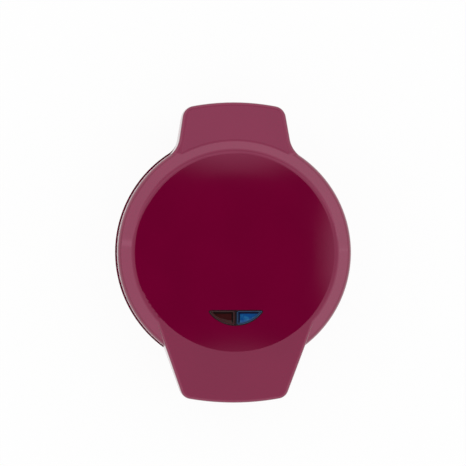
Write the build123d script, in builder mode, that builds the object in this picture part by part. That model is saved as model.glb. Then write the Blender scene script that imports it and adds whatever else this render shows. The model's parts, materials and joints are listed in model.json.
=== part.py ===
from build123d import *
from math import asin, atan2, cos, degrees, hypot, pi, radians, sin, sqrt, tan
import os

# A cake pop maker: a round bowl of a base and a hinged lid, each with a cast plate of half-round
# cavities. Millimetres, +Z up, front handle towards -Y, hinge towards +Y, origin on the floor
# below the middle of the plates.

# ---------------------------------------------------------------- driving dimensions
# Cavities and baking plates
cavity_radius = 18.5
outer_cavities = 9
inner_cavities = 3
outer_web = 5.4              # metal between neighbours in the outer ring
inner_web = 2.8              # metal between neighbours in the inner ring
cavity_wall = 2.5
pad_rise = 1.0               # of the sensor pads above the domes
plate_rim = 11.7             # from the outer cavities to the plate's edge
plate_thickness = 3.0
plate_skirt = 8.0
skirt_wall = 2.5
plate_edge_round = 1.2
closing_gap = 0.4            # between the two plates with the lid shut

# Heaters
heater_radius = 3.25
heater_depth = 14.0          # from a plate's face to the heater's centre line
heater_half_gap = 24.0       # degrees, each side of the rear
heater_bend = 9.0
heater_clearance = 0.1
heater_tail = 7.0            # beyond the reflector
seat_lip = 2.0
bush_wall = 1.8
bush_collar = 1.2
bush_length = 6.0
clip_reach = 11.5
clip_width = 8.0
clip_thickness = 1.0
clip_count = 3

# Bosses and screws
boss_radius = 4.0
clip_boss_radius = 3.6
plate_boss_count = 3
screw_radius = 1.5
screw_head_radius = 3.0
screw_head_height = 2.0
screw_bite = 8.0
screw_clearance = 0.2
edge_share = 0.45            # of a head's height or a flange's width, for its round edge
small_screw_radius = 1.2
small_head_radius = 2.3
small_head_height = 1.4
small_bite = 4.0
slot_width = 0.8
slot_depth = 0.9

# Thermostat and thermal cut-out
sensor_radius = 7.5
sensor_height = 9.0
sensor_cap_radius = 5.6
sensor_cap_height = 2.0
sensor_flange_length = 26.0
sensor_flange_width = 9.0
sensor_flange_thickness = 1.0
sensor_screw_pitch = 20.0
pad_radius = 12.8
pad_stem_radius = 6.5
pad_thickness = 4.0
tab_width = 4.8
tab_thickness = 0.8
tab_length = 7.0

# Reflector pans
sheet = 1.0
reflector_gap = 3.0          # below the deepest cavity
plate_gap = 0.8              # round the plate, for its growth when hot
pan_bevel = 7.0
pan_flange = 3.4
lug_radius = 3.6

# Casings
wall = 2.5
fit_gap = 0.2
frame_thickness = 3.0
frame_below_face = 2.3       # a frame lies this far below its plate's face
screw_circle_gap = 5.4       # from the frame's bore to the casing screws
column_radius = 4.0
rib_width = 2.0
column_to_wall = 5.1         # from the casing screws to the inside of the base wall
casing_screws = 4
base_room = 21.5             # from the lower reflector to the floor of the base
lid_room = 19.5              # from the upper reflector to the crown of the lid
foot_height = 5.0

# Base shell
bowl_round = 24.0
bowl_draft = 1.0
handle_rise = 15.0           # from the floor of the base to the root of the handle
handle_lift = 16.0           # from there to the tip
under_round = 5.0
rear_round = 6.0
base_setback = 0.8           # base handle and rear inside the outline of the lid's

# Lid shell
lid_setback = 1.1            # the lid's rim inside the base's
crown_radius = 850.0
shoulder_width = 14.9        # from the crown's edge to the lid's rim, in plan
shoulder_slope = 42.0
draft = 2.4                  # degrees, on every upright face of the lid
crown_blend = 8.0
shoulder_blend = 11.0
handle_bend = 60.0
handle_slope = 20.0
bend_before_edge = 6.0       # the handle starts to fall this far inside the crown's edge
edge_round = 4.5

# Handle and hinge hood, in plan
handle_length = 28.5         # beyond the base's rim
handle_tip_half = 46.4
handle_tip_sag = 4.7
handle_side_angle = 19.8
handle_corner = 11.0
handle_root = 46.0
hood_length = 28.5
hood_end_half = 45.4
hood_end_sag = 5.2
hood_side_angle = 9.5
hood_corner = 12.0
hood_root = 60.0
hood_flare = 22.0
flare_sunk = 0.2             # of the flares' roots inside the skirt that they run out on
hood_drop_start = 9.2        # from the crown's edge to where the roof leaves the shoulder
hood_slope = 16.0
hood_bevel = 5.5             # from the hood's sides to the crease of its roof
hood_bevel_slope = 30.0
valley_round = 5.0           # where the roof leaves the shoulder

# Hinge
lid_open = 100.0
hinge_inset = 14.6           # from the end of the hood to the hinge line
hinge_rise = 3.0             # hinge line above the plates' parting
swing_gap = 0.7
barrel_radius = 8.0
barrel_floor_share = 0.7     # of the barrel's radius, from the axis down to its inner floor
barrel_half = 34.0
barrel_bore = 5.0
bore_half = 18.0
pin_radius = 2.5
pin_running_gap = 0.05
pin_bite = 12.0
pin_head_radius = 4.0
pin_head = 1.6
ear_gap = 0.6
ear_thickness = 4.0
ear_radius = 7.0
ledge_front = 15.0           # the ledge starts this far in front of the hinge line
pedestal_front = 14.0
pedestal_back = 3.8

# Wiring
harness_radius = 1.8
harness_bend = 6.0
harness_exit = 10.0          # where the lid's harness leaves the barrel, along the hinge line
harness_exit_angle = 135.0
harness_side = 12.0
harness_lean = 45.0
harness_gap = 0.7
lead_radius = 0.9
lead_bend = 2.5
lead_height = 7.0            # of the lamp leads over the lid's harness
lead_side = 16.0
block_length = 30.0
block_width = 14.0
block_height = 13.0
block_distance = 64.0
block_post = 2.0
block_poles = 3
block_screw_radius = 1.6
lead_under_pan = 24.0        # how far the earth lead runs below the reflector

# Cord gland and feet
cord_radius = 3.5
cord_gap = 0.1
gland_neck_radius = 6.0
gland_flange_radius = 8.5
gland_flange = 1.6
gland_edge_share = 0.6       # of the flange's thickness, for its round edge
gland_nut = 3.0
gland_seat = 0.9
gland_height = 18.0
foot_radius = 8.5
foot_taper = 1.0
foot_spigot_radius = 3.0
foot_spigot_rise = 1.25      # above the inside of the floor
foot_front_x = 48.0
foot_front_y = 52.0
foot_rear_x = 30.0
foot_rear_inset = 16.0

# Lamp window
lamp_width = 50.4
lamp_bow = 13.7
lamp_corner = 1.5
lamp_distance = 50.6         # from the middle of the lid to the straight edge
bezel_lip = 0.9
bezel_rim = 0.7
bezel_proud = 0.3
bezel_depth = 7.0
bezel_divider = 1.3
lens_gap = 0.1
lens_thickness = 2.4
lens_below = 0.1
lens_lip = 0.9
lens_dish = 0.8
lamp_housing_wall = 1.5
lamp_housing_depth = 12.0
lamp_ear_drop = 4.0
lamp_housing_margin = 1.0
neon_radius = 2.2
neon_end_share = 0.6         # of its radius, for its round ends
neon_length = 11.0

# ---------------------------------------------------------------- levels and radii
def ring_radius(count, web):
    """The radius at which that many cavities stand in a ring with that web between them."""
    return (2 * cavity_radius + web) / (2 * sin(pi / count))


outer_ring = ring_radius(outer_cavities, outer_web)
inner_ring = ring_radius(inner_cavities, inner_web)
plate_radius = outer_ring + cavity_radius + plate_rim
heater_ring = (inner_ring + outer_ring) / 2
clip_ring = heater_ring - clip_reach
plate_boss_ring = outer_ring + cavity_radius

frame_bore = plate_radius + plate_gap
screw_circle = frame_bore + screw_circle_gap
base_radius = screw_circle + column_to_wall + wall
lid_radius = base_radius - lid_setback
handle_reach = base_radius + handle_length
hood_reach = base_radius + hood_length

dome_depth = cavity_radius + cavity_wall
pad_depth = dome_depth + pad_rise
reflector_depth = dome_depth + reflector_gap + sheet
floor_z = foot_height
parting_z = floor_z + wall + base_room + reflector_depth
base_rim_z = parting_z - closing_gap / 2 - frame_below_face
lid_rim_z = parting_z + closing_gap / 2 + frame_below_face
crown_z = parting_z + reflector_depth + lid_room + wall

hinge_y = hood_reach - hinge_inset
hinge_z = parting_z + hinge_rise
rear = 90.0                  # degrees, from +X round to the hinge
BASE = -1
LID = 1


def level(side, depth):
    """The height of a level that lies so deep behind a plate's face, in the base or the lid."""
    return parting_z + side * (closing_gap / 2 + depth)


def polar(radius, angle):
    """A point in plan at that radius and angle in degrees."""
    return (radius * cos(radians(angle)), radius * sin(radians(angle)))


def finish(piece, name):
    """Label a finished piece and write it out."""
    piece.part.label = name
    export_step(piece.part, f"parts/{name}.step")


def casing_spots():
    """Where the casing screws stand, between handle, hood and sides."""
    return PolarLocations(screw_circle, casing_screws, start_angle=180 / casing_screws)


def plate_boss_spots():
    """Where the screws that join plate and reflector stand."""
    return PolarLocations(plate_boss_ring, plate_boss_count, start_angle=rear)


def clip_spots(radius):
    """Where the heater clips stand, between the inner cavities."""
    return PolarLocations(radius, clip_count, start_angle=rear + 180 / clip_count)


os.makedirs("parts", exist_ok=True)


# ---------------------------------------------------------------- outlines in plan
def handle_outline(inset):
    """The handle in plan, pointing to the front: a bowed tip between two straight sides."""
    tip = handle_reach - handle_tip_sag
    root_half = handle_tip_half + (tip - handle_root) * tan(radians(handle_side_angle))
    with BuildSketch() as outline:
        with BuildLine():
            ThreePointArc((-handle_tip_half, -tip), (0, -handle_reach), (handle_tip_half, -tip))
            Polyline(
                (handle_tip_half, -tip),
                (root_half, -handle_root),
                (-root_half, -handle_root),
                (-handle_tip_half, -tip),
            )
        make_face()
        fillet(outline.vertices().group_by(Axis.Y)[0], handle_corner)
        if inset:
            offset(amount=-inset, mode=Mode.REPLACE)
    return outline.sketch


def hood_outline(inset, radius):
    """The hinge hood in plan, flaring at its root into a circle of that radius."""
    end = hood_reach - hood_end_sag
    slope = tan(radians(hood_side_angle))
    root_half = hood_end_half + (end - hood_root) * slope
    with BuildSketch() as outline:
        with BuildLine():
            ThreePointArc((hood_end_half, end), (0, hood_reach), (-hood_end_half, end))
            Polyline(
                (-hood_end_half, end),
                (-root_half, hood_root),
                (root_half, hood_root),
                (hood_end_half, end),
            )
        make_face()
        fillet(outline.vertices().group_by(Axis.Y)[-1], hood_corner)
        Circle(radius)
        crossings = [v for v in outline.vertices() if v.Y > hood_root and v.Y < end - hood_corner]
        fillet(crossings, hood_flare)
        if inset:
            offset(amount=-inset, mode=Mode.REPLACE)
    return outline.sketch


def flare_root(setback, radius):
    """How far back the hood's flares run out on a circle of that radius."""
    return hood_outline(setback, radius).vertices().sort_by(Axis.Y)[0].Y


# ---------------------------------------------------------------- lid's outer form and hollow
crown_edge = lid_radius - shoulder_width
crown_edge_z = crown_z - crown_radius + sqrt(crown_radius**2 - crown_edge**2)
shoulder_fall = tan(radians(shoulder_slope))
draft_in = tan(radians(draft))
skirt_top = (lid_radius - (crown_edge_z + crown_edge * shoulder_fall - lid_rim_z) * draft_in) / (
    1 - shoulder_fall * draft_in
)
skirt_top_z = crown_edge_z - (skirt_top - crown_edge) * shoulder_fall
handle_start = crown_edge - bend_before_edge
hood_start = crown_edge + hood_drop_start
hood_start_z = crown_edge_z - hood_drop_start * shoulder_fall
form_reach = max(handle_reach, hood_reach) + edge_round * 4
lid_flare = flare_root(0, lid_radius - flare_sunk)


def crown_at(radius):
    """The height of the crown at that distance from the middle."""
    return crown_z - crown_radius + sqrt(crown_radius**2 - radius**2)


def roof_at(radius):
    """The height of the hood's roof at that distance from the middle."""
    return hood_start_z - (radius - hood_start) * tan(radians(hood_slope))


def dome(inset):
    """The round middle of the lid: flat crown, sloping shoulder and steep skirt."""
    low = lid_rim_z - 2 * inset
    low_radius = lid_radius + 2 * inset * draft_in
    edge = (crown_edge, crown_edge_z)
    with BuildPart() as form:
        with BuildSketch(Plane.XZ) as profile:
            with BuildLine():
                ThreePointArc((-crown_edge, crown_edge_z), (0, crown_z), edge)
                Polyline(
                    edge,
                    (skirt_top, skirt_top_z),
                    (low_radius, low),
                    (-low_radius, low),
                    (-skirt_top, skirt_top_z),
                    (-crown_edge, crown_edge_z),
                )
            make_face()
            corners = profile.vertices().group_by(Axis.Y)
            fillet(corners[-1], crown_blend)
            shoulders = [v for v in profile.vertices() if abs(abs(v.X) - skirt_top) < 0.01]
            fillet(shoulders, shoulder_blend)
            if inset:
                offset(amount=-inset, mode=Mode.REPLACE)
            split(bisect_by=Plane.YZ, keep=Keep.TOP)
        revolve(axis=Axis.Z)
    return form.part


def handle_top(inset):
    """The upper half of the handle, falling away from the crown to its tip."""
    low = lid_rim_z - 2 * inset
    low_inset = inset * (1 - 2 * draft_in)
    start = (handle_start, crown_at(handle_start))
    start_lean = asin(handle_start / crown_radius)
    lean = radians(handle_slope)
    middle_lean = (start_lean + lean) / 2
    centre_r = start[0] - handle_bend * sin(start_lean)
    centre_z = start[1] - handle_bend * cos(start_lean)
    middle = (centre_r + handle_bend * sin(middle_lean), centre_z + handle_bend * cos(middle_lean))
    bend_end = (centre_r + handle_bend * sin(lean), centre_z + handle_bend * cos(lean))
    far_z = bend_end[1] - (form_reach - bend_end[0]) * tan(lean)
    root = handle_root / 2
    half_start = (root + handle_start) / 2
    with BuildPart() as form:
        with BuildSketch(Plane.XY.offset(low)):
            add(handle_outline(low_inset))
        extrude(amount=crown_z - low, taper=draft)
        with BuildSketch(Plane.XZ):
            with BuildLine():
                ThreePointArc((root, crown_at(root)), (half_start, crown_at(half_start)), start)
                ThreePointArc(start, middle, bend_end)
                Polyline(bend_end, (form_reach, far_z), (form_reach, low), (root, low),
                         (root, crown_at(root)))
            make_face()
            if inset:
                offset(amount=-inset, mode=Mode.REPLACE)
        revolve(axis=Axis.Z, mode=Mode.INTERSECT)
        fillet(top_edges(form, -1, handle_root), edge_round - inset)
    return form.part


def hood_side_bevel(turn):
    """The plane of the bevel along one side of the hood's roof."""
    lean = radians(hood_side_angle)
    end = hood_reach - hood_end_sag
    far_x = hood_end_half - hood_bevel
    near_x = far_x + (end - hood_start) * tan(lean)
    far = Vector(turn * far_x, end, roof_at(hypot(far_x, end)))
    near = Vector(turn * near_x, hood_start, roof_at(hypot(near_x, hood_start)))
    outward = Vector(turn * cos(lean), sin(lean), -tan(radians(hood_bevel_slope)))
    return Plane(origin=near, z_dir=outward.cross(far - near) * turn)


def hood_top(inset):
    """The hinge hood, with a roof that slopes to the rear and sides that flare into the skirt."""
    low = lid_rim_z - 2 * inset
    low_inset = inset * (1 - 2 * draft_in)
    inner = crown_edge - shoulder_width
    with BuildPart() as form:
        with BuildSketch(Plane.XY.offset(low)):
            add(hood_outline(low_inset, lid_radius - flare_sunk))
        extrude(amount=crown_z - low, taper=draft)
        with BuildSketch(Plane.XZ):
            with BuildLine():
                Polyline((inner, low), (form_reach, low), (form_reach, roof_at(form_reach)),
                         (inner, roof_at(inner)), (inner, low))
            make_face()
            if inset:
                offset(amount=-inset, mode=Mode.REPLACE)
        revolve(axis=Axis.Z, mode=Mode.INTERSECT)
        split(bisect_by=Plane.XZ.offset(-hood_root), keep=Keep.BOTTOM)
        for turn in (-1, 1):
            split(bisect_by=hood_side_bevel(turn).offset(-inset), keep=Keep.BOTTOM)
        fillet(top_edges(form, 1, hood_root), edge_round - inset)
        split(bisect_by=Plane.XZ.offset(-lid_flare - inset), keep=Keep.BOTTOM)
    return form.part


def top_edges(form, towards, root):
    """The edges round the top of a handle or hood, except along its root, which the draft leans."""
    tops = [f for f in form.faces() if f.normal_at(f.center()).Z > 0.5]
    leant = root + (crown_z - lid_rim_z) * draft_in
    edges = [e for f in tops for e in f.edges() if e.center().Y * towards > leant + 1]
    return [e for e in edges if abs((e % 0.5).Z) < 0.95]


def lid_form(inset):
    """The lid's outer form, or the hollow inside it when inset by the wall."""
    with BuildPart() as form:
        add(dome(inset))
        add(handle_top(inset))
        add(hood_top(inset))
    return form.part


# ---------------------------------------------------------------- base's outer form and hollow
ledge_y = hinge_y - ledge_front
swing_clear = hinge_inset + swing_gap
ledge_lean = radians(180 - lid_open)
under_start = base_radius - bowl_round * 2 / 3
under_root = base_radius - 2 * bowl_round
base_flare_radius = base_radius + base_setback - flare_sunk
base_flare = flare_root(base_setback, base_flare_radius)


def ledge_at(y):
    """The height of the rear ledge, which the open lid's hood comes down to with a small gap."""
    return hinge_z - (swing_clear + (y - hinge_y) * cos(ledge_lean)) / sin(ledge_lean)


def under_at(y):
    """The height of the underside of the base's handle."""
    slope = handle_lift / (handle_reach - under_start)
    return floor_z + handle_rise + (-y - under_start) * slope


def bowl(inset):
    """The round middle of the base."""
    foot_line = base_radius - bowl_draft
    rim = base_rim_z + 2 * inset
    rim_radius = base_radius + bowl_draft * 2 * inset / (base_rim_z - floor_z)
    with BuildPart() as form:
        with BuildSketch(Plane.XZ) as profile:
            with BuildLine():
                Polyline((-foot_line, floor_z), (foot_line, floor_z), (rim_radius, rim),
                         (-rim_radius, rim), (-foot_line, floor_z))
            make_face()
            fillet(profile.vertices().group_by(Axis.Y)[0], bowl_round)
            if inset:
                offset(amount=-inset, mode=Mode.REPLACE)
            split(bisect_by=Plane.YZ, keep=Keep.TOP)
        revolve(axis=Axis.Z)
    return form.part


def under_edges(form, towards, root):
    """The edges round the underside of the base's handle or rear, except along its root."""
    unders = [f for f in form.faces() if f.normal_at(f.center()).Z < -0.5]
    edges = [e for f in unders for e in f.edges() if e.center().Y * towards > root + 1]
    return [e for e in edges if abs((e % 0.5).Z) < 0.95]


def handle_under(inset):
    """The lower half of the handle, rising to its tip."""
    rim = base_rim_z + 2 * inset
    with BuildPart() as form:
        with BuildSketch(Plane.XY.offset(floor_z)):
            add(handle_outline(inset + base_setback))
        extrude(amount=rim - floor_z)
        with BuildSketch(Plane.YZ):
            with BuildLine():
                Polyline((-form_reach, under_at(-form_reach)), (-under_root, under_at(-under_root)),
                         (-under_root, rim), (-form_reach, rim),
                         (-form_reach, under_at(-form_reach)))
            make_face()
            if inset:
                offset(amount=-inset, mode=Mode.REPLACE)
        extrude(amount=form_reach, both=True, mode=Mode.INTERSECT)
        fillet(under_edges(form, -1, under_root), under_round - inset)
    return form.part


def rear_under(inset):
    """The base below the hood: level with the rim at its root, then a lower ledge."""
    rim = base_rim_z + 2 * inset
    with BuildPart() as form:
        with BuildSketch(Plane.XY.offset(floor_z)):
            add(hood_outline(inset + base_setback, base_flare_radius))
        extrude(amount=rim - floor_z)
        with BuildSketch(Plane.YZ):
            with BuildLine():
                Polyline((hood_root, floor_z), (form_reach, floor_z),
                         (form_reach, ledge_at(form_reach)), (ledge_y, ledge_at(ledge_y)),
                         (ledge_y, rim), (hood_root, rim), (hood_root, floor_z))
            make_face()
            if inset:
                offset(amount=-inset, mode=Mode.REPLACE)
        extrude(amount=form_reach, both=True, mode=Mode.INTERSECT)
        fillet(under_edges(form, 1, hood_root), rear_round - inset)
        split(bisect_by=Plane.XZ.offset(-base_flare - inset), keep=Keep.BOTTOM)
    return form.part


def base_form(inset):
    """The base's outer form, or the hollow inside it when inset by the wall."""
    with BuildPart() as form:
        add(bowl(inset))
        add(handle_under(inset))
        add(rear_under(inset))
    return form.part


def lid_rim_outline(inset):
    """The lid's outline at its rim, or what fits inside it."""
    with BuildSketch() as outline:
        add(hood_outline(inset, lid_radius - flare_sunk))
        split(bisect_by=Plane.XZ.offset(-lid_flare - inset), keep=Keep.BOTTOM)
        Circle(lid_radius - inset)
        add(handle_outline(inset))
    return outline.sketch


def base_rim_outline(inset):
    """The base's outline at its rim, up to the ledge, or what fits inside it."""
    setback = inset + base_setback
    with BuildSketch() as outline:
        add(hood_outline(setback, base_flare_radius))
        split(bisect_by=Plane.XZ.offset(-base_flare - inset), keep=Keep.BOTTOM)
        Circle(base_radius - inset)
        add(handle_outline(setback))
        split(bisect_by=Plane.XZ.offset(inset - ledge_y), keep=Keep.TOP)
    return outline.sketch


lid_outer = lid_form(0)
lid_hollow = lid_form(wall)
base_outer = base_form(0)
base_hollow = base_form(wall)

frame_back = frame_below_face + frame_thickness
lug_back = frame_back + sheet


# ---------------------------------------------------------------- pieces that base and lid share
def baking_plate(side):
    """A cast plate: a skirted disc with half-round cavities, a heater seat and bosses behind."""
    face = level(side, 0)
    cavities = [polar(inner_ring, rear + i * 360 / inner_cavities) for i in range(inner_cavities)]
    cavities += [
        polar(outer_ring, rear + (i + 0.5) * 360 / outer_cavities) for i in range(outer_cavities)
    ]
    spots = [(x, y, face) for x, y in cavities]
    seat_half = heater_radius + seat_lip
    with BuildPart() as plate:
        with BuildSketch(Plane.XY.offset(face)):
            Circle(plate_radius)
        extrude(amount=side * plate_thickness)
        with BuildSketch(Plane.XY.offset(face)):
            Circle(plate_radius)
            Circle(plate_radius - skirt_wall, mode=Mode.SUBTRACT)
        extrude(amount=side * plate_skirt)
        with Locations(*spots):
            Sphere(cavity_radius + cavity_wall)
        split(bisect_by=Plane.XY.offset(face), keep=Keep.TOP if side == LID else Keep.BOTTOM)
        with BuildSketch(Plane.XY.offset(face)):
            Circle(heater_ring + seat_half)
            Circle(heater_ring - seat_half, mode=Mode.SUBTRACT)
        extrude(amount=side * heater_depth)
        with BuildSketch(Plane.XY.offset(face)):
            with plate_boss_spots():
                Circle(boss_radius)
        extrude(amount=side * (reflector_depth - sheet))
        with BuildSketch(Plane.XY.offset(face)):
            with clip_spots(clip_ring):
                Circle(clip_boss_radius)
        extrude(amount=side * (heater_depth + heater_radius))
        with BuildSketch(Plane.XY.offset(face)):
            Circle(pad_stem_radius)
        extrude(amount=side * pad_depth)
        with BuildSketch(Plane.XY.offset(level(side, pad_depth))):
            Circle(pad_radius)
        extrude(amount=-side * pad_thickness)
        with BuildSketch(Plane.XZ):
            with Locations((heater_ring, level(side, heater_depth))):
                Circle(heater_radius + heater_clearance)
        revolve(axis=Axis.Z, mode=Mode.SUBTRACT)
        with Locations(*spots):
            Sphere(cavity_radius, mode=Mode.SUBTRACT)
        with BuildSketch(Plane.XY.offset(level(side, reflector_depth - sheet))):
            with plate_boss_spots():
                Circle(screw_radius)
        extrude(amount=-side * screw_bite, mode=Mode.SUBTRACT)
        with BuildSketch(Plane.XY.offset(level(side, heater_depth + heater_radius))):
            with clip_spots(clip_ring):
                Circle(small_screw_radius)
        extrude(amount=-side * small_bite, mode=Mode.SUBTRACT)
        with BuildSketch(Plane.XY.offset(level(side, pad_depth))):
            with GridLocations(sensor_screw_pitch, 0, 2, 1):
                Circle(small_screw_radius)
        extrude(amount=-side * pad_thickness, mode=Mode.SUBTRACT)
        rim = plate.edges().filter_by(GeomType.CIRCLE).filter_by(
            lambda e: abs(e.radius - plate_radius) < fit_gap and abs(e.center().Z - face) < fit_gap
        )
        fillet(rim, plate_edge_round)
    return plate


def heater_terminals(side):
    """The two places in plan where a heater's ends pass the reflector."""
    ends = []
    for turn in (1, -1):
        angle = radians(rear + turn * heater_half_gap)
        x = heater_ring * cos(angle) + turn * heater_bend * sin(angle)
        y = heater_ring * sin(angle) - turn * heater_bend * cos(angle)
        ends.append((x, y))
    return ends


def heater(side):
    """A tubular heater: most of a ring, with both ends turned back through the reflector."""
    ring_z = level(side, heater_depth)
    bend_z = ring_z + side * heater_bend
    end_z = level(side, reflector_depth + heater_tail)
    left_end, right_end = heater_terminals(side)
    left = polar(heater_ring, rear + heater_half_gap)
    right = polar(heater_ring, rear - heater_half_gap)
    near = 1 - cos(radians(45))

    def bend(corner, end):
        """The arc from the ring's end round to a straight tail."""
        middle_x = corner[0] + (end[0] - corner[0]) * sin(radians(45))
        middle_y = corner[1] + (end[1] - corner[1]) * sin(radians(45))
        middle = (middle_x, middle_y, ring_z + side * heater_bend * near)
        ThreePointArc((*corner, ring_z), middle, (*end, bend_z))

    with BuildPart() as tube:
        with BuildLine() as path:
            Line((*left_end, end_z), (*left_end, bend_z))
            bend(left, left_end)
            ThreePointArc((*left, ring_z), (0, -heater_ring, ring_z), (*right, ring_z))
            bend(right, right_end)
            Line((*right_end, bend_z), (*right_end, end_z))
        with BuildSketch(Plane(origin=(*left_end, end_z), z_dir=(0, 0, -side))):
            Circle(heater_radius)
        sweep(path=path.wires()[0])
    return tube


def heater_bushes(side):
    """Ceramic bushes round the heater's tails where they pass the reflector."""
    with BuildPart() as bushes:
        with BuildSketch(Plane.XY.offset(level(side, reflector_depth))):
            with Locations(*heater_terminals(side)):
                Circle(heater_radius + bush_wall + bush_collar)
        extrude(amount=side * bush_collar)
        with BuildSketch(Plane.XY.offset(level(side, reflector_depth + bush_length / 2))):
            with Locations(*heater_terminals(side)):
                Circle(heater_radius + bush_wall)
        extrude(amount=-side * bush_length)
        with BuildSketch(Plane.XY.offset(level(side, reflector_depth + bush_length))):
            with Locations(*heater_terminals(side)):
                Circle(heater_radius + heater_clearance)
        extrude(amount=-side * 2 * bush_length, mode=Mode.SUBTRACT)
    return bushes


def heater_clips(side):
    """Steel straps that hold the heater in its seat."""
    start = clip_ring - clip_boss_radius
    length = heater_ring + heater_radius + seat_lip - start
    with BuildPart() as clips:
        with BuildSketch(Plane.XY.offset(level(side, heater_depth + heater_radius))):
            with clip_spots(start + length / 2):
                Rectangle(length, clip_width)
            with clip_spots(clip_ring):
                Circle(small_screw_radius + screw_clearance, mode=Mode.SUBTRACT)
        extrude(amount=side * clip_thickness)
        upright = clips.edges().filter_by(Axis.Z)
        fillet(upright.filter_by(lambda e: e.geom_type == GeomType.LINE), clip_width / 4)
    return clips


def round_head_screws(plane, spots, radius, head_radius, head_height, grip, bite):
    """Cross-slotted screws whose heads stand on a plane and whose shanks go the other way."""
    with BuildPart() as screws:
        with BuildSketch(plane):
            with spots:
                Circle(head_radius)
        extrude(amount=head_height)
        tops = screws.faces().filter_by(lambda f: f.normal_at(f.center()).dot(plane.z_dir) > 0.99)
        fillet(tops.edges(), head_height * edge_share)
        with BuildSketch(plane.offset(head_height)):
            with spots:
                Rectangle(head_radius, slot_width)
                Rectangle(slot_width, head_radius)
        extrude(amount=-slot_depth, mode=Mode.SUBTRACT)
        with BuildSketch(plane):
            with spots:
                Circle(radius)
        extrude(amount=-(grip + bite))
    return screws


def facing(side, depth):
    """A plane at that depth behind a plate's face, looking away from the plate."""
    return Plane(origin=(0, 0, level(side, depth)), x_dir=(1, 0, 0), z_dir=(0, 0, side))


def clip_screws(side):
    """The small screws of the heater clips."""
    plane = facing(side, heater_depth + heater_radius + clip_thickness)
    spots = [polar(clip_ring, side * (rear + 180 / clip_count) + i * 360 / clip_count)
             for i in range(clip_count)]
    return round_head_screws(plane, Locations(*spots), small_screw_radius - screw_clearance / 2,
                             small_head_radius, small_head_height, clip_thickness,
                             small_bite - screw_clearance)


def plate_screws(side):
    """The screws that join a reflector to the bosses of its plate."""
    spots = [polar(plate_boss_ring, side * rear + i * 360 / plate_boss_count)
             for i in range(plate_boss_count)]
    return round_head_screws(facing(side, reflector_depth), Locations(*spots),
                             screw_radius - screw_clearance / 2, screw_head_radius,
                             screw_head_height, sheet, screw_bite - screw_clearance)


def reflector(side):
    """A sheet-metal pan round the back of a plate, with a flange and lugs under the frame."""
    inner = reflector_depth - sheet
    mitre = sheet * tan(radians(22.5))
    floor_radius = frame_bore - pan_bevel
    flange_radius = frame_bore + pan_flange
    profile = [
        (0, inner),
        (floor_radius, inner),
        (frame_bore, inner - pan_bevel),
        (frame_bore, frame_back),
        (flange_radius, frame_back),
        (flange_radius, lug_back),
        (frame_bore + sheet, lug_back),
        (frame_bore + sheet, inner - pan_bevel + mitre),
        (floor_radius + mitre, reflector_depth),
        (0, reflector_depth),
        (0, inner),
    ]
    with BuildPart() as pan:
        with BuildSketch(Plane.XZ):
            with BuildLine():
                Polyline(*[(radius, level(side, depth)) for radius, depth in profile])
            make_face()
        revolve(axis=Axis.Z)
        with BuildSketch(Plane.XY.offset(level(side, frame_back))):
            with casing_spots():
                Circle(lug_radius)
            Circle(frame_bore + sheet / 2, mode=Mode.SUBTRACT)
        extrude(amount=side * sheet)
        with BuildSketch(Plane.XY.offset(level(side, 0))):
            Circle(pad_radius + plate_gap)
            with Locations(*heater_terminals(side)):
                Circle(heater_radius + bush_wall + heater_clearance)
            with plate_boss_spots():
                Circle(screw_radius + screw_clearance)
            with casing_spots():
                Circle(screw_radius + screw_clearance)
        extrude(amount=side * (reflector_depth + sheet), mode=Mode.SUBTRACT)
    return pan


def sensor(side):
    """A disc thermostat or cut-out: flange, body, cap and two terminal tabs."""
    base = level(side, pad_depth)
    with BuildPart() as unit:
        with BuildSketch(Plane.XY.offset(base)):
            RectangleRounded(sensor_flange_length, sensor_flange_width,
                             sensor_flange_width * edge_share)
            with GridLocations(sensor_screw_pitch, 0, 2, 1):
                Circle(small_screw_radius + screw_clearance, mode=Mode.SUBTRACT)
        extrude(amount=side * sensor_flange_thickness)
        with BuildSketch(Plane.XY.offset(base)):
            Circle(sensor_radius)
        extrude(amount=side * sensor_height)
        with BuildSketch(Plane.XY.offset(base)):
            Circle(sensor_cap_radius)
        extrude(amount=side * (sensor_height + sensor_cap_height))
        with BuildSketch(Plane.XY.offset(base)):
            with GridLocations(0, sensor_cap_radius, 1, 2):
                Rectangle(tab_width, tab_thickness)
        extrude(amount=side * (sensor_height + sensor_cap_height + tab_length))
    return unit


def sensor_screws(side):
    """The two screws of a thermostat or cut-out."""
    half = sensor_screw_pitch / 2
    return round_head_screws(facing(side, pad_depth + sensor_flange_thickness),
                             Locations((-half, 0), (half, 0)),
                             small_screw_radius - screw_clearance / 2, small_head_radius,
                             small_head_height, sensor_flange_thickness,
                             pad_thickness - screw_clearance)


def casing_frame(side, outline):
    """A trim plate inside a casing's rim, round the baking plate and across the handle."""
    rim = lid_rim_z if side == LID else base_rim_z
    with BuildPart() as frame:
        with BuildSketch(Plane.XY.offset(rim)):
            add(outline)
            Circle(frame_bore, mode=Mode.SUBTRACT)
            with casing_spots():
                Circle(screw_radius + screw_clearance, mode=Mode.SUBTRACT)
        extrude(amount=side * frame_thickness)
        with BuildSketch(Plane.XY.offset(rim)):
            with casing_spots():
                Circle(screw_head_radius + screw_clearance)
        extrude(amount=side * screw_head_height, mode=Mode.SUBTRACT)
    return frame


def casing_screw_set(side):
    """The screws that hold a frame and a reflector's lugs to the casing's columns."""
    plane = Plane(origin=(0, 0, level(side, frame_below_face + screw_head_height)),
                  x_dir=(1, 0, 0), z_dir=(0, 0, -side))
    turn = 180 / casing_screws
    spots = [polar(screw_circle, turn + i * 360 / casing_screws) for i in range(casing_screws)]
    grip = frame_thickness - screw_head_height + sheet
    return round_head_screws(plane, Locations(*spots), screw_radius - screw_clearance / 2,
                             screw_head_radius, screw_head_height, grip,
                             screw_bite - screw_clearance)


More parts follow.
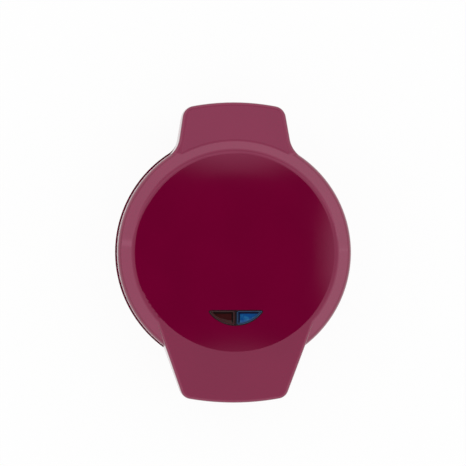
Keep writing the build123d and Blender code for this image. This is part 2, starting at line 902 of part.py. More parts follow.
def casing_columns(side):
    """The columns and their ribs that a casing's hollow leaves standing behind the lugs."""
    start = level(side, lug_back)
    with BuildPart() as columns:
        with BuildSketch(Plane.XY.offset(start)):
            with casing_spots():
                Circle(column_radius)
            with PolarLocations(screw_circle + column_radius, casing_screws,
                                start_angle=180 / casing_screws):
                Rectangle(2 * column_radius, rib_width)
        extrude(amount=side * crown_z)
        with BuildSketch(Plane.XY.offset(start)):
            with casing_spots():
                Circle(screw_radius)
        extrude(amount=side * screw_bite, mode=Mode.SUBTRACT)
    return columns.part


for side, word in ((BASE, "lower"), (LID, "upper")):
    finish(baking_plate(side), f"{word}_plate")
    finish(heater(side), f"{word}_heater")
    finish(heater_bushes(side), f"{word}_heater_bushes")
    finish(heater_clips(side), f"{word}_heater_clips")
    finish(clip_screws(side), f"{word}_clip_screws")
    finish(reflector(side), f"{word}_reflector")
    finish(plate_screws(side), f"{word}_plate_screws")
finish(sensor(BASE), "thermostat")
finish(sensor_screws(BASE), "thermostat_screws")
finish(sensor(LID), "thermal_cutout")
finish(sensor_screws(LID), "cutout_screws")
finish(casing_frame(BASE, base_rim_outline(wall + fit_gap)), "base_frame")
finish(casing_screw_set(BASE), "base_screws")
finish(casing_screw_set(LID), "lid_screws")


# ---------------------------------------------------------------- lamp window
def lamp_outline(inset):
    """A half-moon in plan: a straight edge to the rear and a bow to the front."""
    half = lamp_width / 2
    with BuildSketch() as outline:
        with BuildLine():
            ThreePointArc((-half, -lamp_distance), (0, -lamp_distance - lamp_bow),
                          (half, -lamp_distance))
            Line((half, -lamp_distance), (-half, -lamp_distance))
        make_face()
        fillet(outline.vertices(), lamp_corner)
        if inset:
            offset(amount=-inset, mode=Mode.REPLACE)
    return outline.sketch


def crown_layer(above, below):
    """The layer between two surfaces that follow the crown, above and below it."""
    reach = handle_start
    high = crown_radius + above
    low = crown_radius - below
    centre = crown_z - crown_radius

    def arc_point(radius, across):
        """A point of the arc of that radius, that far from the middle."""
        return (across, centre + sqrt(radius**2 - across**2))

    with BuildPart() as layer:
        with BuildSketch(Plane.XZ):
            with BuildLine():
                ThreePointArc(*[arc_point(high, x) for x in (0, reach / 2, reach)])
                Line(arc_point(high, reach), arc_point(low, reach))
                ThreePointArc(*[arc_point(low, x) for x in (reach, reach / 2, 0)])
                Line(arc_point(low, 0), arc_point(high, 0))
            make_face()
        revolve(axis=Axis.Z)
    return layer.part


def lamp_prism(outline, above, below):
    """An outline of the lamp window as a solid that follows the crown above and below."""
    with BuildPart() as prism:
        with BuildSketch(Plane.XY.offset(crown_z - lamp_housing_depth * 2)):
            add(outline)
        extrude(amount=lamp_housing_depth * 3)
        add(crown_layer(above, below), mode=Mode.INTERSECT)
    return prism.part


def lamp_windows(inset, gap):
    """The two windows of the bezel, or the lenses that fill them with a gap all round."""
    with BuildSketch() as windows:
        add(lamp_outline(inset + gap))
        with Locations((0, -lamp_distance - lamp_bow / 2)):
            Rectangle(bezel_divider + 2 * gap, 2 * lamp_bow, mode=Mode.SUBTRACT)
    return windows.sketch


window_inset = bezel_lip + bezel_rim
lens_depth = lens_below + lens_thickness
with BuildPart() as lamp_bezel:
    add(lamp_prism(lamp_outline(0), bezel_proud, 0))
    add(lamp_prism(lamp_outline(bezel_lip + fit_gap), bezel_proud, bezel_depth))
    add(lamp_prism(lamp_windows(window_inset, 0), bezel_proud + 1, lens_depth), mode=Mode.SUBTRACT)
    add(lamp_prism(lamp_windows(window_inset + lens_lip, 0), 0, bezel_depth + 1),
        mode=Mode.SUBTRACT)
finish(lamp_bezel, "lamp_bezel")

lens_block = lamp_prism(lamp_windows(window_inset, lens_gap), -lens_below, lens_depth)
lens_recess = lamp_prism(lamp_windows(window_inset + lens_lip, lens_gap), 1, lens_below + lens_dish)
with BuildPart() as power_lens:
    add(lens_block)
    add(lens_recess, mode=Mode.SUBTRACT)
    split(bisect_by=Plane.YZ, keep=Keep.BOTTOM)
finish(power_lens, "power_lens")
with BuildPart() as ready_lens:
    add(lens_block)
    add(lens_recess, mode=Mode.SUBTRACT)
    split(bisect_by=Plane.YZ, keep=Keep.TOP)
finish(ready_lens, "ready_lens")

# The housing below the bezel holds the two neon lamps.
housing_length = lamp_width + 2 * (lamp_housing_margin + lamp_housing_wall)
housing_width = lamp_bow + 2 * (lamp_housing_margin + lamp_housing_wall)
housing_y = -lamp_distance - lamp_bow / 2
housing_corner = hypot(housing_length / 2, -housing_y + housing_width / 2)
housing_top = crown_at(housing_corner) - wall - fit_gap
housing_bottom = housing_top - lamp_housing_depth
post_x = housing_length / 2 + small_head_radius + lamp_housing_margin
post_radius = small_screw_radius + lamp_housing_wall
ear_top = housing_top - lamp_ear_drop
lead_notch = 4 * lead_radius
with BuildPart() as lamp_housing:
    with BuildSketch(Plane.XY.offset(housing_bottom)):
        with Locations((0, housing_y)):
            RectangleRounded(housing_length, housing_width, lamp_housing_wall)
    extrude(amount=lamp_housing_depth)
    with BuildSketch(Plane.XY.offset(ear_top)):
        with Locations((0, housing_y)):
            SlotOverall(2 * (post_x + post_radius), 2 * post_radius)
    extrude(amount=-lamp_housing_wall)
    with BuildSketch(Plane.XY.offset(housing_bottom + lamp_housing_wall)):
        with Locations((0, housing_y)):
            Rectangle(housing_length - 2 * lamp_housing_wall, housing_width - 2 * lamp_housing_wall)
    extrude(amount=lamp_housing_depth, mode=Mode.SUBTRACT)
    with BuildSketch(Plane.XY.offset(ear_top)):
        with Locations((-post_x, housing_y), (post_x, housing_y)):
            Circle(small_screw_radius + screw_clearance)
    extrude(amount=-lamp_housing_depth, mode=Mode.SUBTRACT)
    with BuildSketch(Plane.XY.offset(housing_bottom + lamp_housing_wall)):
        with Locations((-lamp_width / 4, housing_y + housing_width / 2),
                       (lamp_width / 4, housing_y + housing_width / 2)):
            Rectangle(lead_notch, housing_width / 2)
    extrude(amount=lead_notch, mode=Mode.SUBTRACT)
finish(lamp_housing, "lamp_housing")

housing_screw_plane = Plane(origin=(0, 0, ear_top - lamp_housing_wall), x_dir=(1, 0, 0),
                            z_dir=(0, 0, -1))
housing_screws = round_head_screws(
    housing_screw_plane, Locations((-post_x, -housing_y), (post_x, -housing_y)),
    small_screw_radius - screw_clearance / 2, small_head_radius, small_head_height,
    lamp_housing_wall, small_bite - screw_clearance)
finish(housing_screws, "lamp_housing_screws")

neon_z = housing_bottom + lamp_housing_wall + neon_radius
for name, x in (("power_lamp", -lamp_width / 4), ("ready_lamp", lamp_width / 4)):
    with BuildPart() as neon_lamp:
        with BuildSketch(Plane.YZ.offset(x - neon_length / 2)):
            with Locations((housing_y, neon_z)):
                Circle(neon_radius)
        extrude(amount=neon_length)
        fillet(neon_lamp.edges().filter_by(GeomType.CIRCLE), neon_radius * neon_end_share)
    finish(neon_lamp, name)


# ---------------------------------------------------------------- lid shell and frame
ear_inner = barrel_half + ear_gap
ear_planes = (Plane.YZ.offset(ear_inner), Plane.YZ.offset(-ear_inner - ear_thickness))
hinge_point = (hinge_y, hinge_z)
with BuildPart() as lid_cavity:
    add(lid_hollow)
    add(casing_columns(LID), mode=Mode.SUBTRACT)
    with BuildSketch(*ear_planes):
        with Locations((hinge_y, (hinge_z + crown_z) / 2)):
            Rectangle(2 * ear_radius, crown_z - hinge_z)
    extrude(amount=ear_thickness, mode=Mode.SUBTRACT)
    with BuildSketch(Plane.XY.offset(ear_top)):
        with Locations((-post_x, housing_y), (post_x, housing_y)):
            Circle(post_radius)
            Circle(small_screw_radius, mode=Mode.SUBTRACT)
    extrude(amount=lamp_housing_depth, mode=Mode.SUBTRACT)

with BuildPart() as lid_shell:
    add(lid_outer)
    valley = [e for e in lid_shell.edges().filter_by(GeomType.CIRCLE)
              if e.center().Y > hood_root and abs(e.radius - hood_start) < 0.5]
    fillet(valley, valley_round)
    add(lid_cavity.part, mode=Mode.SUBTRACT)
    with BuildSketch(*ear_planes):
        with Locations(hinge_point):
            Circle(ear_radius)
    extrude(amount=ear_thickness)
    with BuildSketch(*ear_planes):
        with Locations(hinge_point):
            Circle(pin_radius + pin_running_gap)
    extrude(amount=ear_thickness, mode=Mode.SUBTRACT)
    with BuildSketch(Plane.XY.offset(crown_z - lamp_housing_depth)):
        add(lamp_outline(bezel_lip))
    extrude(amount=2 * lamp_housing_depth, mode=Mode.SUBTRACT)
finish(lid_shell, "lid_shell")

with BuildPart() as lid_frame:
    add(casing_frame(LID, lid_rim_outline(wall + fit_gap)).part)
    split(bisect_by=Plane.XZ.offset(barrel_radius + ear_gap - hinge_y), keep=Keep.TOP)
finish(lid_frame, "lid_frame")

# ---------------------------------------------------------------- base shell
pedestal_y = hinge_y - (pedestal_front + pedestal_back) / 2
pedestal_depth = pedestal_front - pedestal_back
pedestal_top = hinge_z - pedestal_back
rear_wall_y = hood_reach - base_setback
gland_point = (0, floor_z + gland_height)
foot_rear_y = hood_reach - foot_rear_inset
feet = [(x, y) for x, y in ((-foot_front_x, -foot_front_y), (foot_front_x, -foot_front_y),
                            (-foot_rear_x, foot_rear_y), (foot_rear_x, foot_rear_y))]
block_screws = [(x, block_distance) for x in (-block_length / 3, 0, block_length / 3)]
channel_radius = harness_radius + harness_gap
window_half = degrees(asin(channel_radius / barrel_bore))
window_start = harness_exit_angle - lid_open - window_half
window_sweep = lid_open + 2 * window_half
window_reach = 2 * barrel_radius


def round_hinge(distance, angle):
    """A point in the YZ plane at that distance and angle from the hinge line."""
    return (hinge_y + distance * cos(radians(angle)), hinge_z + distance * sin(radians(angle)))


with BuildPart() as pedestal:
    with BuildSketch(Plane.XY.offset(floor_z)):
        with Locations((0, pedestal_y)):
            Rectangle(2 * barrel_half, pedestal_depth)
    extrude(amount=pedestal_top - floor_z)
    with BuildSketch(Plane.YZ.offset(-barrel_half)):
        with Locations(hinge_point):
            Circle(barrel_radius)
    extrude(amount=2 * barrel_half)
    split(bisect_by=Plane.XY.offset(ledge_at(pedestal_y) - wall), keep=Keep.TOP)

with BuildPart() as base_cavity:
    add(base_hollow)
    add(casing_columns(BASE), mode=Mode.SUBTRACT)
    with BuildSketch(Plane.XY.offset(floor_z)):
        with Locations(*block_screws):
            Circle(block_screw_radius + wall)
            Circle(block_screw_radius, mode=Mode.SUBTRACT)
    extrude(amount=wall + block_post, mode=Mode.SUBTRACT)

with BuildPart() as base_shell:
    add(base_outer)
    add(base_cavity.part, mode=Mode.SUBTRACT)
    add(pedestal.part)
    with BuildSketch(Plane.XY.offset(floor_z + wall)):
        with Locations((0, pedestal_y)):
            Rectangle(2 * (barrel_half - wall), pedestal_depth - 2 * wall)
    extrude(amount=hinge_z - barrel_radius * barrel_floor_share - floor_z - wall, mode=Mode.SUBTRACT)
    with BuildSketch(Plane.YZ.offset(-bore_half)):
        with Locations(hinge_point):
            Circle(barrel_bore)
    extrude(amount=2 * bore_half, mode=Mode.SUBTRACT)
    with BuildSketch(Plane.YZ.offset(barrel_half - pin_bite), Plane.YZ.offset(-barrel_half)):
        with Locations(hinge_point):
            Circle(pin_radius)
    extrude(amount=pin_bite, mode=Mode.SUBTRACT)
    with BuildSketch(Plane.YZ.offset(harness_exit - channel_radius)):
        with BuildLine():
            ThreePointArc(round_hinge(window_reach, window_start),
                          round_hinge(window_reach, window_start + window_sweep / 2),
                          round_hinge(window_reach, window_start + window_sweep))
            Polyline(round_hinge(window_reach, window_start + window_sweep), hinge_point,
                     round_hinge(window_reach, window_start))
        make_face()
    extrude(amount=2 * channel_radius, mode=Mode.SUBTRACT)
    with BuildSketch(Plane(origin=(-harness_side, hinge_y, hinge_z),
                           z_dir=(0, -sin(radians(harness_lean)), -cos(radians(harness_lean))))):
        Circle(channel_radius)
    extrude(amount=pedestal_front, mode=Mode.SUBTRACT)
    with BuildSketch(Plane.XY.offset(floor_z)):
        with Locations(*feet):
            Circle(foot_spigot_radius)
    extrude(amount=2 * wall, mode=Mode.SUBTRACT)
    with BuildSketch(Plane.XZ.offset(-rear_wall_y)):
        with Locations(gland_point):
            Circle(gland_flange_radius + fit_gap)
    extrude(amount=gland_seat, mode=Mode.SUBTRACT)
    with BuildSketch(Plane.XZ.offset(-rear_wall_y)):
        with Locations(gland_point):
            Circle(gland_neck_radius + screw_clearance / 2)
    extrude(amount=2 * wall, mode=Mode.SUBTRACT)
finish(base_shell, "base_shell")

with BuildPart() as rubber_feet:
    with BuildSketch(Plane.XY):
        with Locations(*feet):
            Circle(foot_radius - foot_taper)
    extrude(amount=foot_height, taper=-degrees(atan2(foot_taper, foot_height)))
    with BuildSketch(Plane.XY.offset(foot_height)):
        with Locations(*feet):
            Circle(foot_spigot_radius - screw_clearance / 2)
    extrude(amount=wall + foot_spigot_rise)
    with BuildSketch(Plane.XY):
        with Locations(*feet):
            Circle(foot_radius / 2)
    extrude(amount=foot_taper, mode=Mode.SUBTRACT)
finish(rubber_feet, "rubber_feet")

gland_face = rear_wall_y - gland_seat + gland_flange
with BuildPart() as cord_gland:
    with BuildSketch(Plane.XZ.offset(-gland_face)):
        with Locations(gland_point):
            Circle(gland_flange_radius)
    extrude(amount=gland_flange)
    outer = cord_gland.faces().sort_by(Axis.Y)[-1]
    fillet(outer.edges(), gland_flange * gland_edge_share)
    with BuildSketch(Plane.XZ.offset(-gland_face)):
        with Locations(gland_point):
            Circle(gland_neck_radius)
    extrude(amount=gland_flange + wall + fit_gap - gland_seat + gland_nut)
    with BuildSketch(Plane.XZ.offset(-(rear_wall_y - wall - fit_gap))):
        with Locations(gland_point):
            RegularPolygon(gland_flange_radius, 6)
    extrude(amount=gland_nut)
    with BuildSketch(Plane.XZ.offset(-gland_face)):
        with Locations(gland_point):
            Circle(cord_radius + cord_gap)
    extrude(amount=gland_flange + wall + gland_nut, mode=Mode.SUBTRACT)
finish(cord_gland, "cord_gland")

# ---------------------------------------------------------------- hinge pins
pin_start = barrel_half - pin_bite
head_start = ear_inner + ear_thickness + pin_running_gap * 4
for name, turn in (("left_hinge_pin", -1), ("right_hinge_pin", 1)):
    with BuildPart() as hinge_pin:
        with BuildSketch(Plane.YZ.offset(turn * pin_start)):
            with Locations(hinge_point):
                Circle(pin_radius)
        extrude(amount=turn * (head_start - pin_start))
        with BuildSketch(Plane.YZ.offset(turn * head_start)):
            with Locations(hinge_point):
                Circle(pin_head_radius)
        extrude(amount=turn * pin_head)
        ends = hinge_pin.faces().filter_by(Axis.X).sort_by(Axis.X)
        fillet(ends[-1 if turn > 0 else 0].edges(), pin_head / 3)
    finish(hinge_pin, name)


# ---------------------------------------------------------------- terminal block and wiring
def wire(points, radius, bend):
    """A wire of that radius along straight runs that join in arcs."""
    run = Vector(*points[1]) - Vector(*points[0])
    with BuildPart() as lead:
        with BuildLine() as path:
            FilletPolyline(*points, radius=bend)
        with BuildSketch(Plane(origin=points[0], z_dir=run)):
            Circle(radius)
        sweep(path=path.wires()[0])
    return lead.part


block_bottom = floor_z + wall + block_post
block_top = block_bottom + block_height
block_middle = (block_bottom + block_top) / 2
block_front = block_distance - block_width / 2
block_rear = block_distance + block_width / 2
with BuildPart() as terminal_block:
    with BuildSketch(Plane.XY.offset(block_bottom)):
        with Locations((0, block_distance)):
            Rectangle(block_length, block_width)
    extrude(amount=block_height)
    chamfer(terminal_block.edges().filter_by(Axis.Z), block_post / 2)
    with BuildSketch(Plane.XY.offset(block_top)):
        with Locations((0, block_distance)):
            with GridLocations(block_length / block_poles, 0, block_poles - 1, 1):
                Rectangle(slot_width, block_width)
    extrude(amount=-block_height / 2, mode=Mode.SUBTRACT)
    with BuildSketch(Plane.XY.offset(block_bottom)):
        with Locations(*block_screws):
            Circle(block_screw_radius + screw_clearance)
    extrude(amount=block_height, mode=Mode.SUBTRACT)
finish(terminal_block, "terminal_block")
finish(round_head_screws(Plane.XY.offset(block_top), Locations(*block_screws),
                         block_screw_radius - screw_clearance / 2, small_head_radius,
                         small_head_height, block_height, block_post - screw_clearance),
       "terminal_screws")

turn_in = (pedestal_front + pedestal_back) / 2
with BuildPart() as base_harness:
    add(wire([
        (-harness_side, block_rear, block_middle),
        (-harness_side, hinge_y - turn_in, block_middle),
        (-harness_side, hinge_y - turn_in, hinge_z - turn_in / tan(radians(harness_lean))),
        (-harness_side, hinge_y, hinge_z),
        (0, hinge_y, hinge_z),
    ], harness_radius, harness_bend))
finish(base_harness, "base_harness")

harness_z = level(LID, reflector_depth) + 2 * harness_radius + lead_radius
harness_climb = (harness_z - hinge_z) / sin(radians(harness_exit_angle))
harness_end = heater_ring + lead_side
with BuildPart() as lid_harness:
    add(wire([
        (0, hinge_y, hinge_z),
        (harness_exit, hinge_y, hinge_z),
        (harness_exit, *round_hinge(harness_climb, harness_exit_angle)),
        (harness_exit, plate_boss_ring, harness_z),
        (0, harness_end + 2 * lead_bend, harness_z),
        (0, harness_end, harness_z),
    ], harness_radius, harness_bend))
finish(lid_harness, "lid_harness")

# Leads of the upper heater, the cut-out and the lamps fan out from the end of the lid's harness.
over = harness_z + lead_radius
below = harness_z - lead_radius
(heater_x, heater_y), (return_x, return_y) = heater_terminals(LID)
tail_z = level(LID, reflector_depth + heater_tail) + lead_radius
with BuildPart() as upper_heater_lead:
    add(wire([
        (-lead_radius, harness_end, below),
        (-lead_radius, harness_end - 3 * lead_bend, below),
        (heater_x, heater_y + 2 * lead_bend, tail_z),
        (heater_x, heater_y, tail_z),
    ], lead_radius, lead_bend / 2))
finish(upper_heater_lead, "upper_heater_lead")

tab_z = level(LID, pad_depth + sensor_height + sensor_cap_height + tab_length) + lead_radius
with BuildPart() as cutout_leads:
    add(wire([
        (lead_radius, harness_end, below),
        (lead_radius, heater_y, below),
        (lead_radius, sensor_cap_radius + 2 * lead_bend, tab_z),
        (lead_radius, sensor_cap_radius, tab_z),
    ], lead_radius, lead_bend))
    add(wire([
        (return_x, return_y, tail_z),
        (return_x, return_y - 2 * lead_bend, tail_z),
        (tab_width, 0, tab_z),
        (0, -sensor_cap_radius, tab_z),
    ], lead_radius, lead_bend))
finish(cutout_leads, "cutout_leads")

with BuildPart() as lamp_leads:
    for turn in (-1, 1):
        lamp_x = turn * lamp_width / 4
        add(wire([
            (turn * lead_radius, harness_end, over),
            (turn * lead_radius, harness_end - lead_bend, over),
            (turn * lead_side, harness_end - 3 * lead_bend, harness_z + lead_height),
            (turn * lead_side, -lead_side, harness_z + lead_height),
            (lamp_x, housing_y + housing_width / 2 + 2 * lead_bend, neon_z),
            (lamp_x, housing_y + neon_radius, neon_z),
        ], lead_radius, lead_bend))
finish(lamp_leads, "lamp_leads")

tail_z = level(BASE, reflector_depth + heater_tail) - lead_radius
with BuildPart() as lower_heater_leads:
    for x, y in heater_terminals(BASE):
        add(wire([
            (x, block_front, block_middle),
            (x, block_front - 2 * lead_bend, block_middle),
            (x, y + 2 * lead_bend, tail_z),
            (x, y, tail_z),
        ], lead_radius, lead_bend / 2))
finish(lower_heater_leads, "lower_heater_leads")

pan_z = level(BASE, reflector_depth) - lead_radius
with BuildPart() as earth_lead:
    add(wire([
        (0, block_front, block_middle),
        (0, block_front - 2 * lead_bend, block_middle),
        (0, heater_ring, pan_z),
        (0, heater_ring - lead_under_pan, pan_z),
    ], lead_radius, lead_bend))
finish(earth_lead, "earth_lead")

tab_z = level(BASE, pad_depth + sensor_height + sensor_cap_height + tab_length) - lead_radius
with BuildPart() as thermostat_leads:
    for x, y in ((-tab_width, sensor_cap_radius), (tab_width, -sensor_cap_radius)):
        add(wire([
            (x, block_front, tab_z),
            (x, y + tab_width, tab_z),
            (0, y, tab_z),
        ], lead_radius, lead_bend))
finish(thermostat_leads, "thermostat_leads")
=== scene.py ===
"""A plum cake pop maker, dressed for its portrait: finishes, fine fittings, studio and camera.

Every length is in metres, in the frame of the solids: +Z up, handle towards -Y, hinge towards +Y.
"""

import json
import logging
import math
from dataclasses import dataclass, field
from enum import Enum
from typing import Any, ClassVar, Mapping, Optional, Sequence, Union

import bmesh
import bpy
from mathutils import Matrix, Vector

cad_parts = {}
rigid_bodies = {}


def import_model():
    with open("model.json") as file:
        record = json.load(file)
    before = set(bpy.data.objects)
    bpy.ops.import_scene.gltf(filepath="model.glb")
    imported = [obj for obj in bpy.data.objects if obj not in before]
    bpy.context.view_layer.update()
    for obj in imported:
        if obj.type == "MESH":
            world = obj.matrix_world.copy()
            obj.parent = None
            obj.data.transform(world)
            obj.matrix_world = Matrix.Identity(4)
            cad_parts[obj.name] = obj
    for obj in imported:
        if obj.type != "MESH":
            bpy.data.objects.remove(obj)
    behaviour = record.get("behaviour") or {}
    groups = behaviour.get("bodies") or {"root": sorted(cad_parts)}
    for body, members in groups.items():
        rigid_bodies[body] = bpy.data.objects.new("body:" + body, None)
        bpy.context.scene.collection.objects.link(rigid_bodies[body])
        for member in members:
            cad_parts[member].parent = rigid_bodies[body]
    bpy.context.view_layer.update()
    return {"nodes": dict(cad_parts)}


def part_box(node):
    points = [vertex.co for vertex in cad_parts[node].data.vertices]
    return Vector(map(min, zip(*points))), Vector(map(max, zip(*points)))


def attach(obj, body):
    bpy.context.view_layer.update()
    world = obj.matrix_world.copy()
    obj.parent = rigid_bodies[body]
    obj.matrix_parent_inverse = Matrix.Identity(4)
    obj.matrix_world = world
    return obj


LOG = logging.getLogger("cake_pop_maker")
Colour = tuple[float, float, float]
Point = tuple[float, float, float]
Operand = Union["Signal", float]
MM = 0.001


class Body(str, Enum):
    """The two rigid bodies that the hinge joins."""

    BASE = "base"
    LID = "lid"


def from_srgb(red: int, green: int, blue: int) -> Colour:
    """Turn a colour as a screen shows it into the linear one that a shader takes.

    Args:
        red: Red, 0 to 255.
        green: Green, 0 to 255.
        blue: Blue, 0 to 255.

    Returns:
        The linear colour, each part 0 to 1.
    """
    parts = [part / 255 for part in (red, green, blue)]
    return tuple(p / 12.92 if p <= 0.04045 else ((p + 0.055) / 1.055) ** 2.4 for p in parts)


def scaled(colour: Colour, factor: float) -> Colour:
    """Return a colour made lighter or darker by a factor, kept within 0 to 1."""
    return tuple(min(1.0, part * factor) for part in colour)


@dataclass(frozen=True)
class HalfMoon:
    """The lamp window's outline in plan: straight towards the hinge, bowed towards the handle."""

    width: float = 50.4 * MM
    bow: float = 13.7 * MM
    distance: float = 50.6 * MM
    divider: float = 1.3 * MM
    bow_steps: int = 14
    top_steps: int = 6
    side_steps: int = 4

    @property
    def radius(self) -> float:
        """Return the radius of the bow."""
        return (self.width**2 / 4 + self.bow**2) / (2 * self.bow)

    @property
    def centre(self) -> float:
        """Return the Y of the bow's centre."""
        return self.radius - self.distance - self.bow

    def bow_at(self, x: float, inset: float) -> float:
        """Return the Y of the bow, so far inside the outline, at a given X."""
        return self.centre - math.sqrt((self.radius - inset) ** 2 - x * x)

    def bow_end(self, inset: float) -> float:
        """Return the X at which the bow, so far inside the outline, meets the straight side."""
        top = -self.distance - inset
        return math.sqrt((self.radius - inset) ** 2 - (top - self.centre) ** 2)

    def half(self, inset: float, side: int, corner: float = 0.5 * MM) -> list[tuple[float, float]]:
        """Trace one lens's outline, anticlockwise.

        Args:
            inset: How far inside the window's outline it runs.
            side: -1 for the left lens, 1 for the right one.
            corner: The radius of its corners.

        Returns:
            The points in plan.
        """
        top = -self.distance - inset
        near = self.divider / 2 + inset
        width = self.bow_end(inset) - near
        bow = [near + width * i / self.bow_steps for i in range(self.bow_steps + 1)]
        points = [(x, self.bow_at(x, inset)) for x in bow]
        drop = points[0][1] - top
        straight = [near + width * (1 - i / self.top_steps) for i in range(1, self.top_steps)]
        points += [(x, top) for x in (*straight, near)]
        points += [(near, top + drop * i / self.side_steps) for i in range(1, self.side_steps)]
        rounded = soften(points, corner)
        return rounded if side > 0 else [(-x, y) for x, y in reversed(rounded)]


def soften(
    points: Sequence[tuple[float, float]], size: float, steps: int = 4, flat: float = 150.0
) -> list[tuple[float, float]]:
    """Cut each sharp corner of a closed outline with a short curve.

    Args:
        points: The outline's points.
        size: How far from a corner its curve starts.
        steps: How many runs each curve has.
        flat: The angle at a point, in degrees, above which it is no corner.

    Returns:
        The outline with its sharp corners curved.
    """
    smooth = []
    for before, at, after in zip([points[-1], *points[:-1]], points, [*points[1:], points[0]]):
        here = Vector(at)
        back = Vector(before) - here
        on = Vector(after) - here
        if back.angle(on) > math.radians(flat):
            smooth.append(at)
            continue
        start = here + back.normalized() * min(size, back.length / 2)
        end = here + on.normalized() * min(size, on.length / 2)
        for i in range(steps + 1):
            t = i / steps
            spot = start * (1 - t) ** 2 + here * 2 * t * (1 - t) + end * t**2
            smooth.append((spot.x, spot.y))
    return smooth


# ------------------------------------------------------------------------- shader expressions
class Signal:
    """An output socket that takes part in ordinary arithmetic."""

    def __init__(self, graph: "Graph", socket: bpy.types.NodeSocket) -> None:
        """Wrap a socket of a graph."""
        self.graph = graph
        self.socket = socket

    def _maths(self, operation: str, *operands: Operand) -> "Signal":
        """Add one Math node and return its result."""
        inputs = dict(enumerate(operands))
        return self.graph.node("ShaderNodeMath", {"operation": operation}, inputs)

    def __add__(self, other: Operand) -> "Signal":
        """Add."""
        return self._maths("ADD", self, other)

    __radd__ = __add__

    def __sub__(self, other: Operand) -> "Signal":
        """Subtract."""
        return self._maths("SUBTRACT", self, other)

    def __rsub__(self, other: Operand) -> "Signal":
        """Subtract from a number."""
        return self._maths("SUBTRACT", other, self)

    def __mul__(self, other: Operand) -> "Signal":
        """Multiply."""
        return self._maths("MULTIPLY", self, other)

    __rmul__ = __mul__

    def __truediv__(self, other: Operand) -> "Signal":
        """Divide."""
        return self._maths("DIVIDE", self, other)

    def __rtruediv__(self, other: Operand) -> "Signal":
        """Divide a number by this."""
        return self._maths("DIVIDE", other, self)

    def __neg__(self) -> "Signal":
        """Negate."""
        return self._maths("MULTIPLY", self, -1.0)

    def __abs__(self) -> "Signal":
        """Take the absolute value."""
        return self._maths("ABSOLUTE", self)

    def __mod__(self, period: Operand) -> "Signal":
        """Take the remainder, always positive."""
        return self._maths("FLOORED_MODULO", self, period)

    def at_least(self, other: Operand) -> "Signal":
        """Return the larger of the two."""
        return self._maths("MAXIMUM", self, other)

    def at_most(self, other: Operand) -> "Signal":
        """Return the smaller of the two."""
        return self._maths("MINIMUM", self, other)

    def sine(self) -> "Signal":
        """Return the sine of an angle in radians."""
        return self._maths("SINE", self)

    def cosine(self) -> "Signal":
        """Return the cosine of an angle in radians."""
        return self._maths("COSINE", self)

    def root(self) -> "Signal":
        """Return the square root."""
        return self._maths("SQRT", self)

    def angle_from(self, along: "Signal") -> "Signal":
        """Return the angle of the point (along, self) in radians."""
        return self._maths("ARCTAN2", self, along)

    def ease(self, start: float, end: float, low: float = 0.0, high: float = 1.0) -> "Signal":
        """Pass smoothly from one level to another as the value goes from start to end.

        Args:
            start: Where the change begins; it may lie above the end.
            end: Where the change ends.
            low: The level at the start.
            high: The level at the end.

        Returns:
            The eased level.
        """
        settings = {"interpolation_type": "SMOOTHSTEP"}
        if start > end:
            start, end, low, high = end, start, high, low
        inputs = {0: self, 1: start, 2: end, 3: low, 4: high}
        return self.graph.node("ShaderNodeMapRange", settings, inputs)


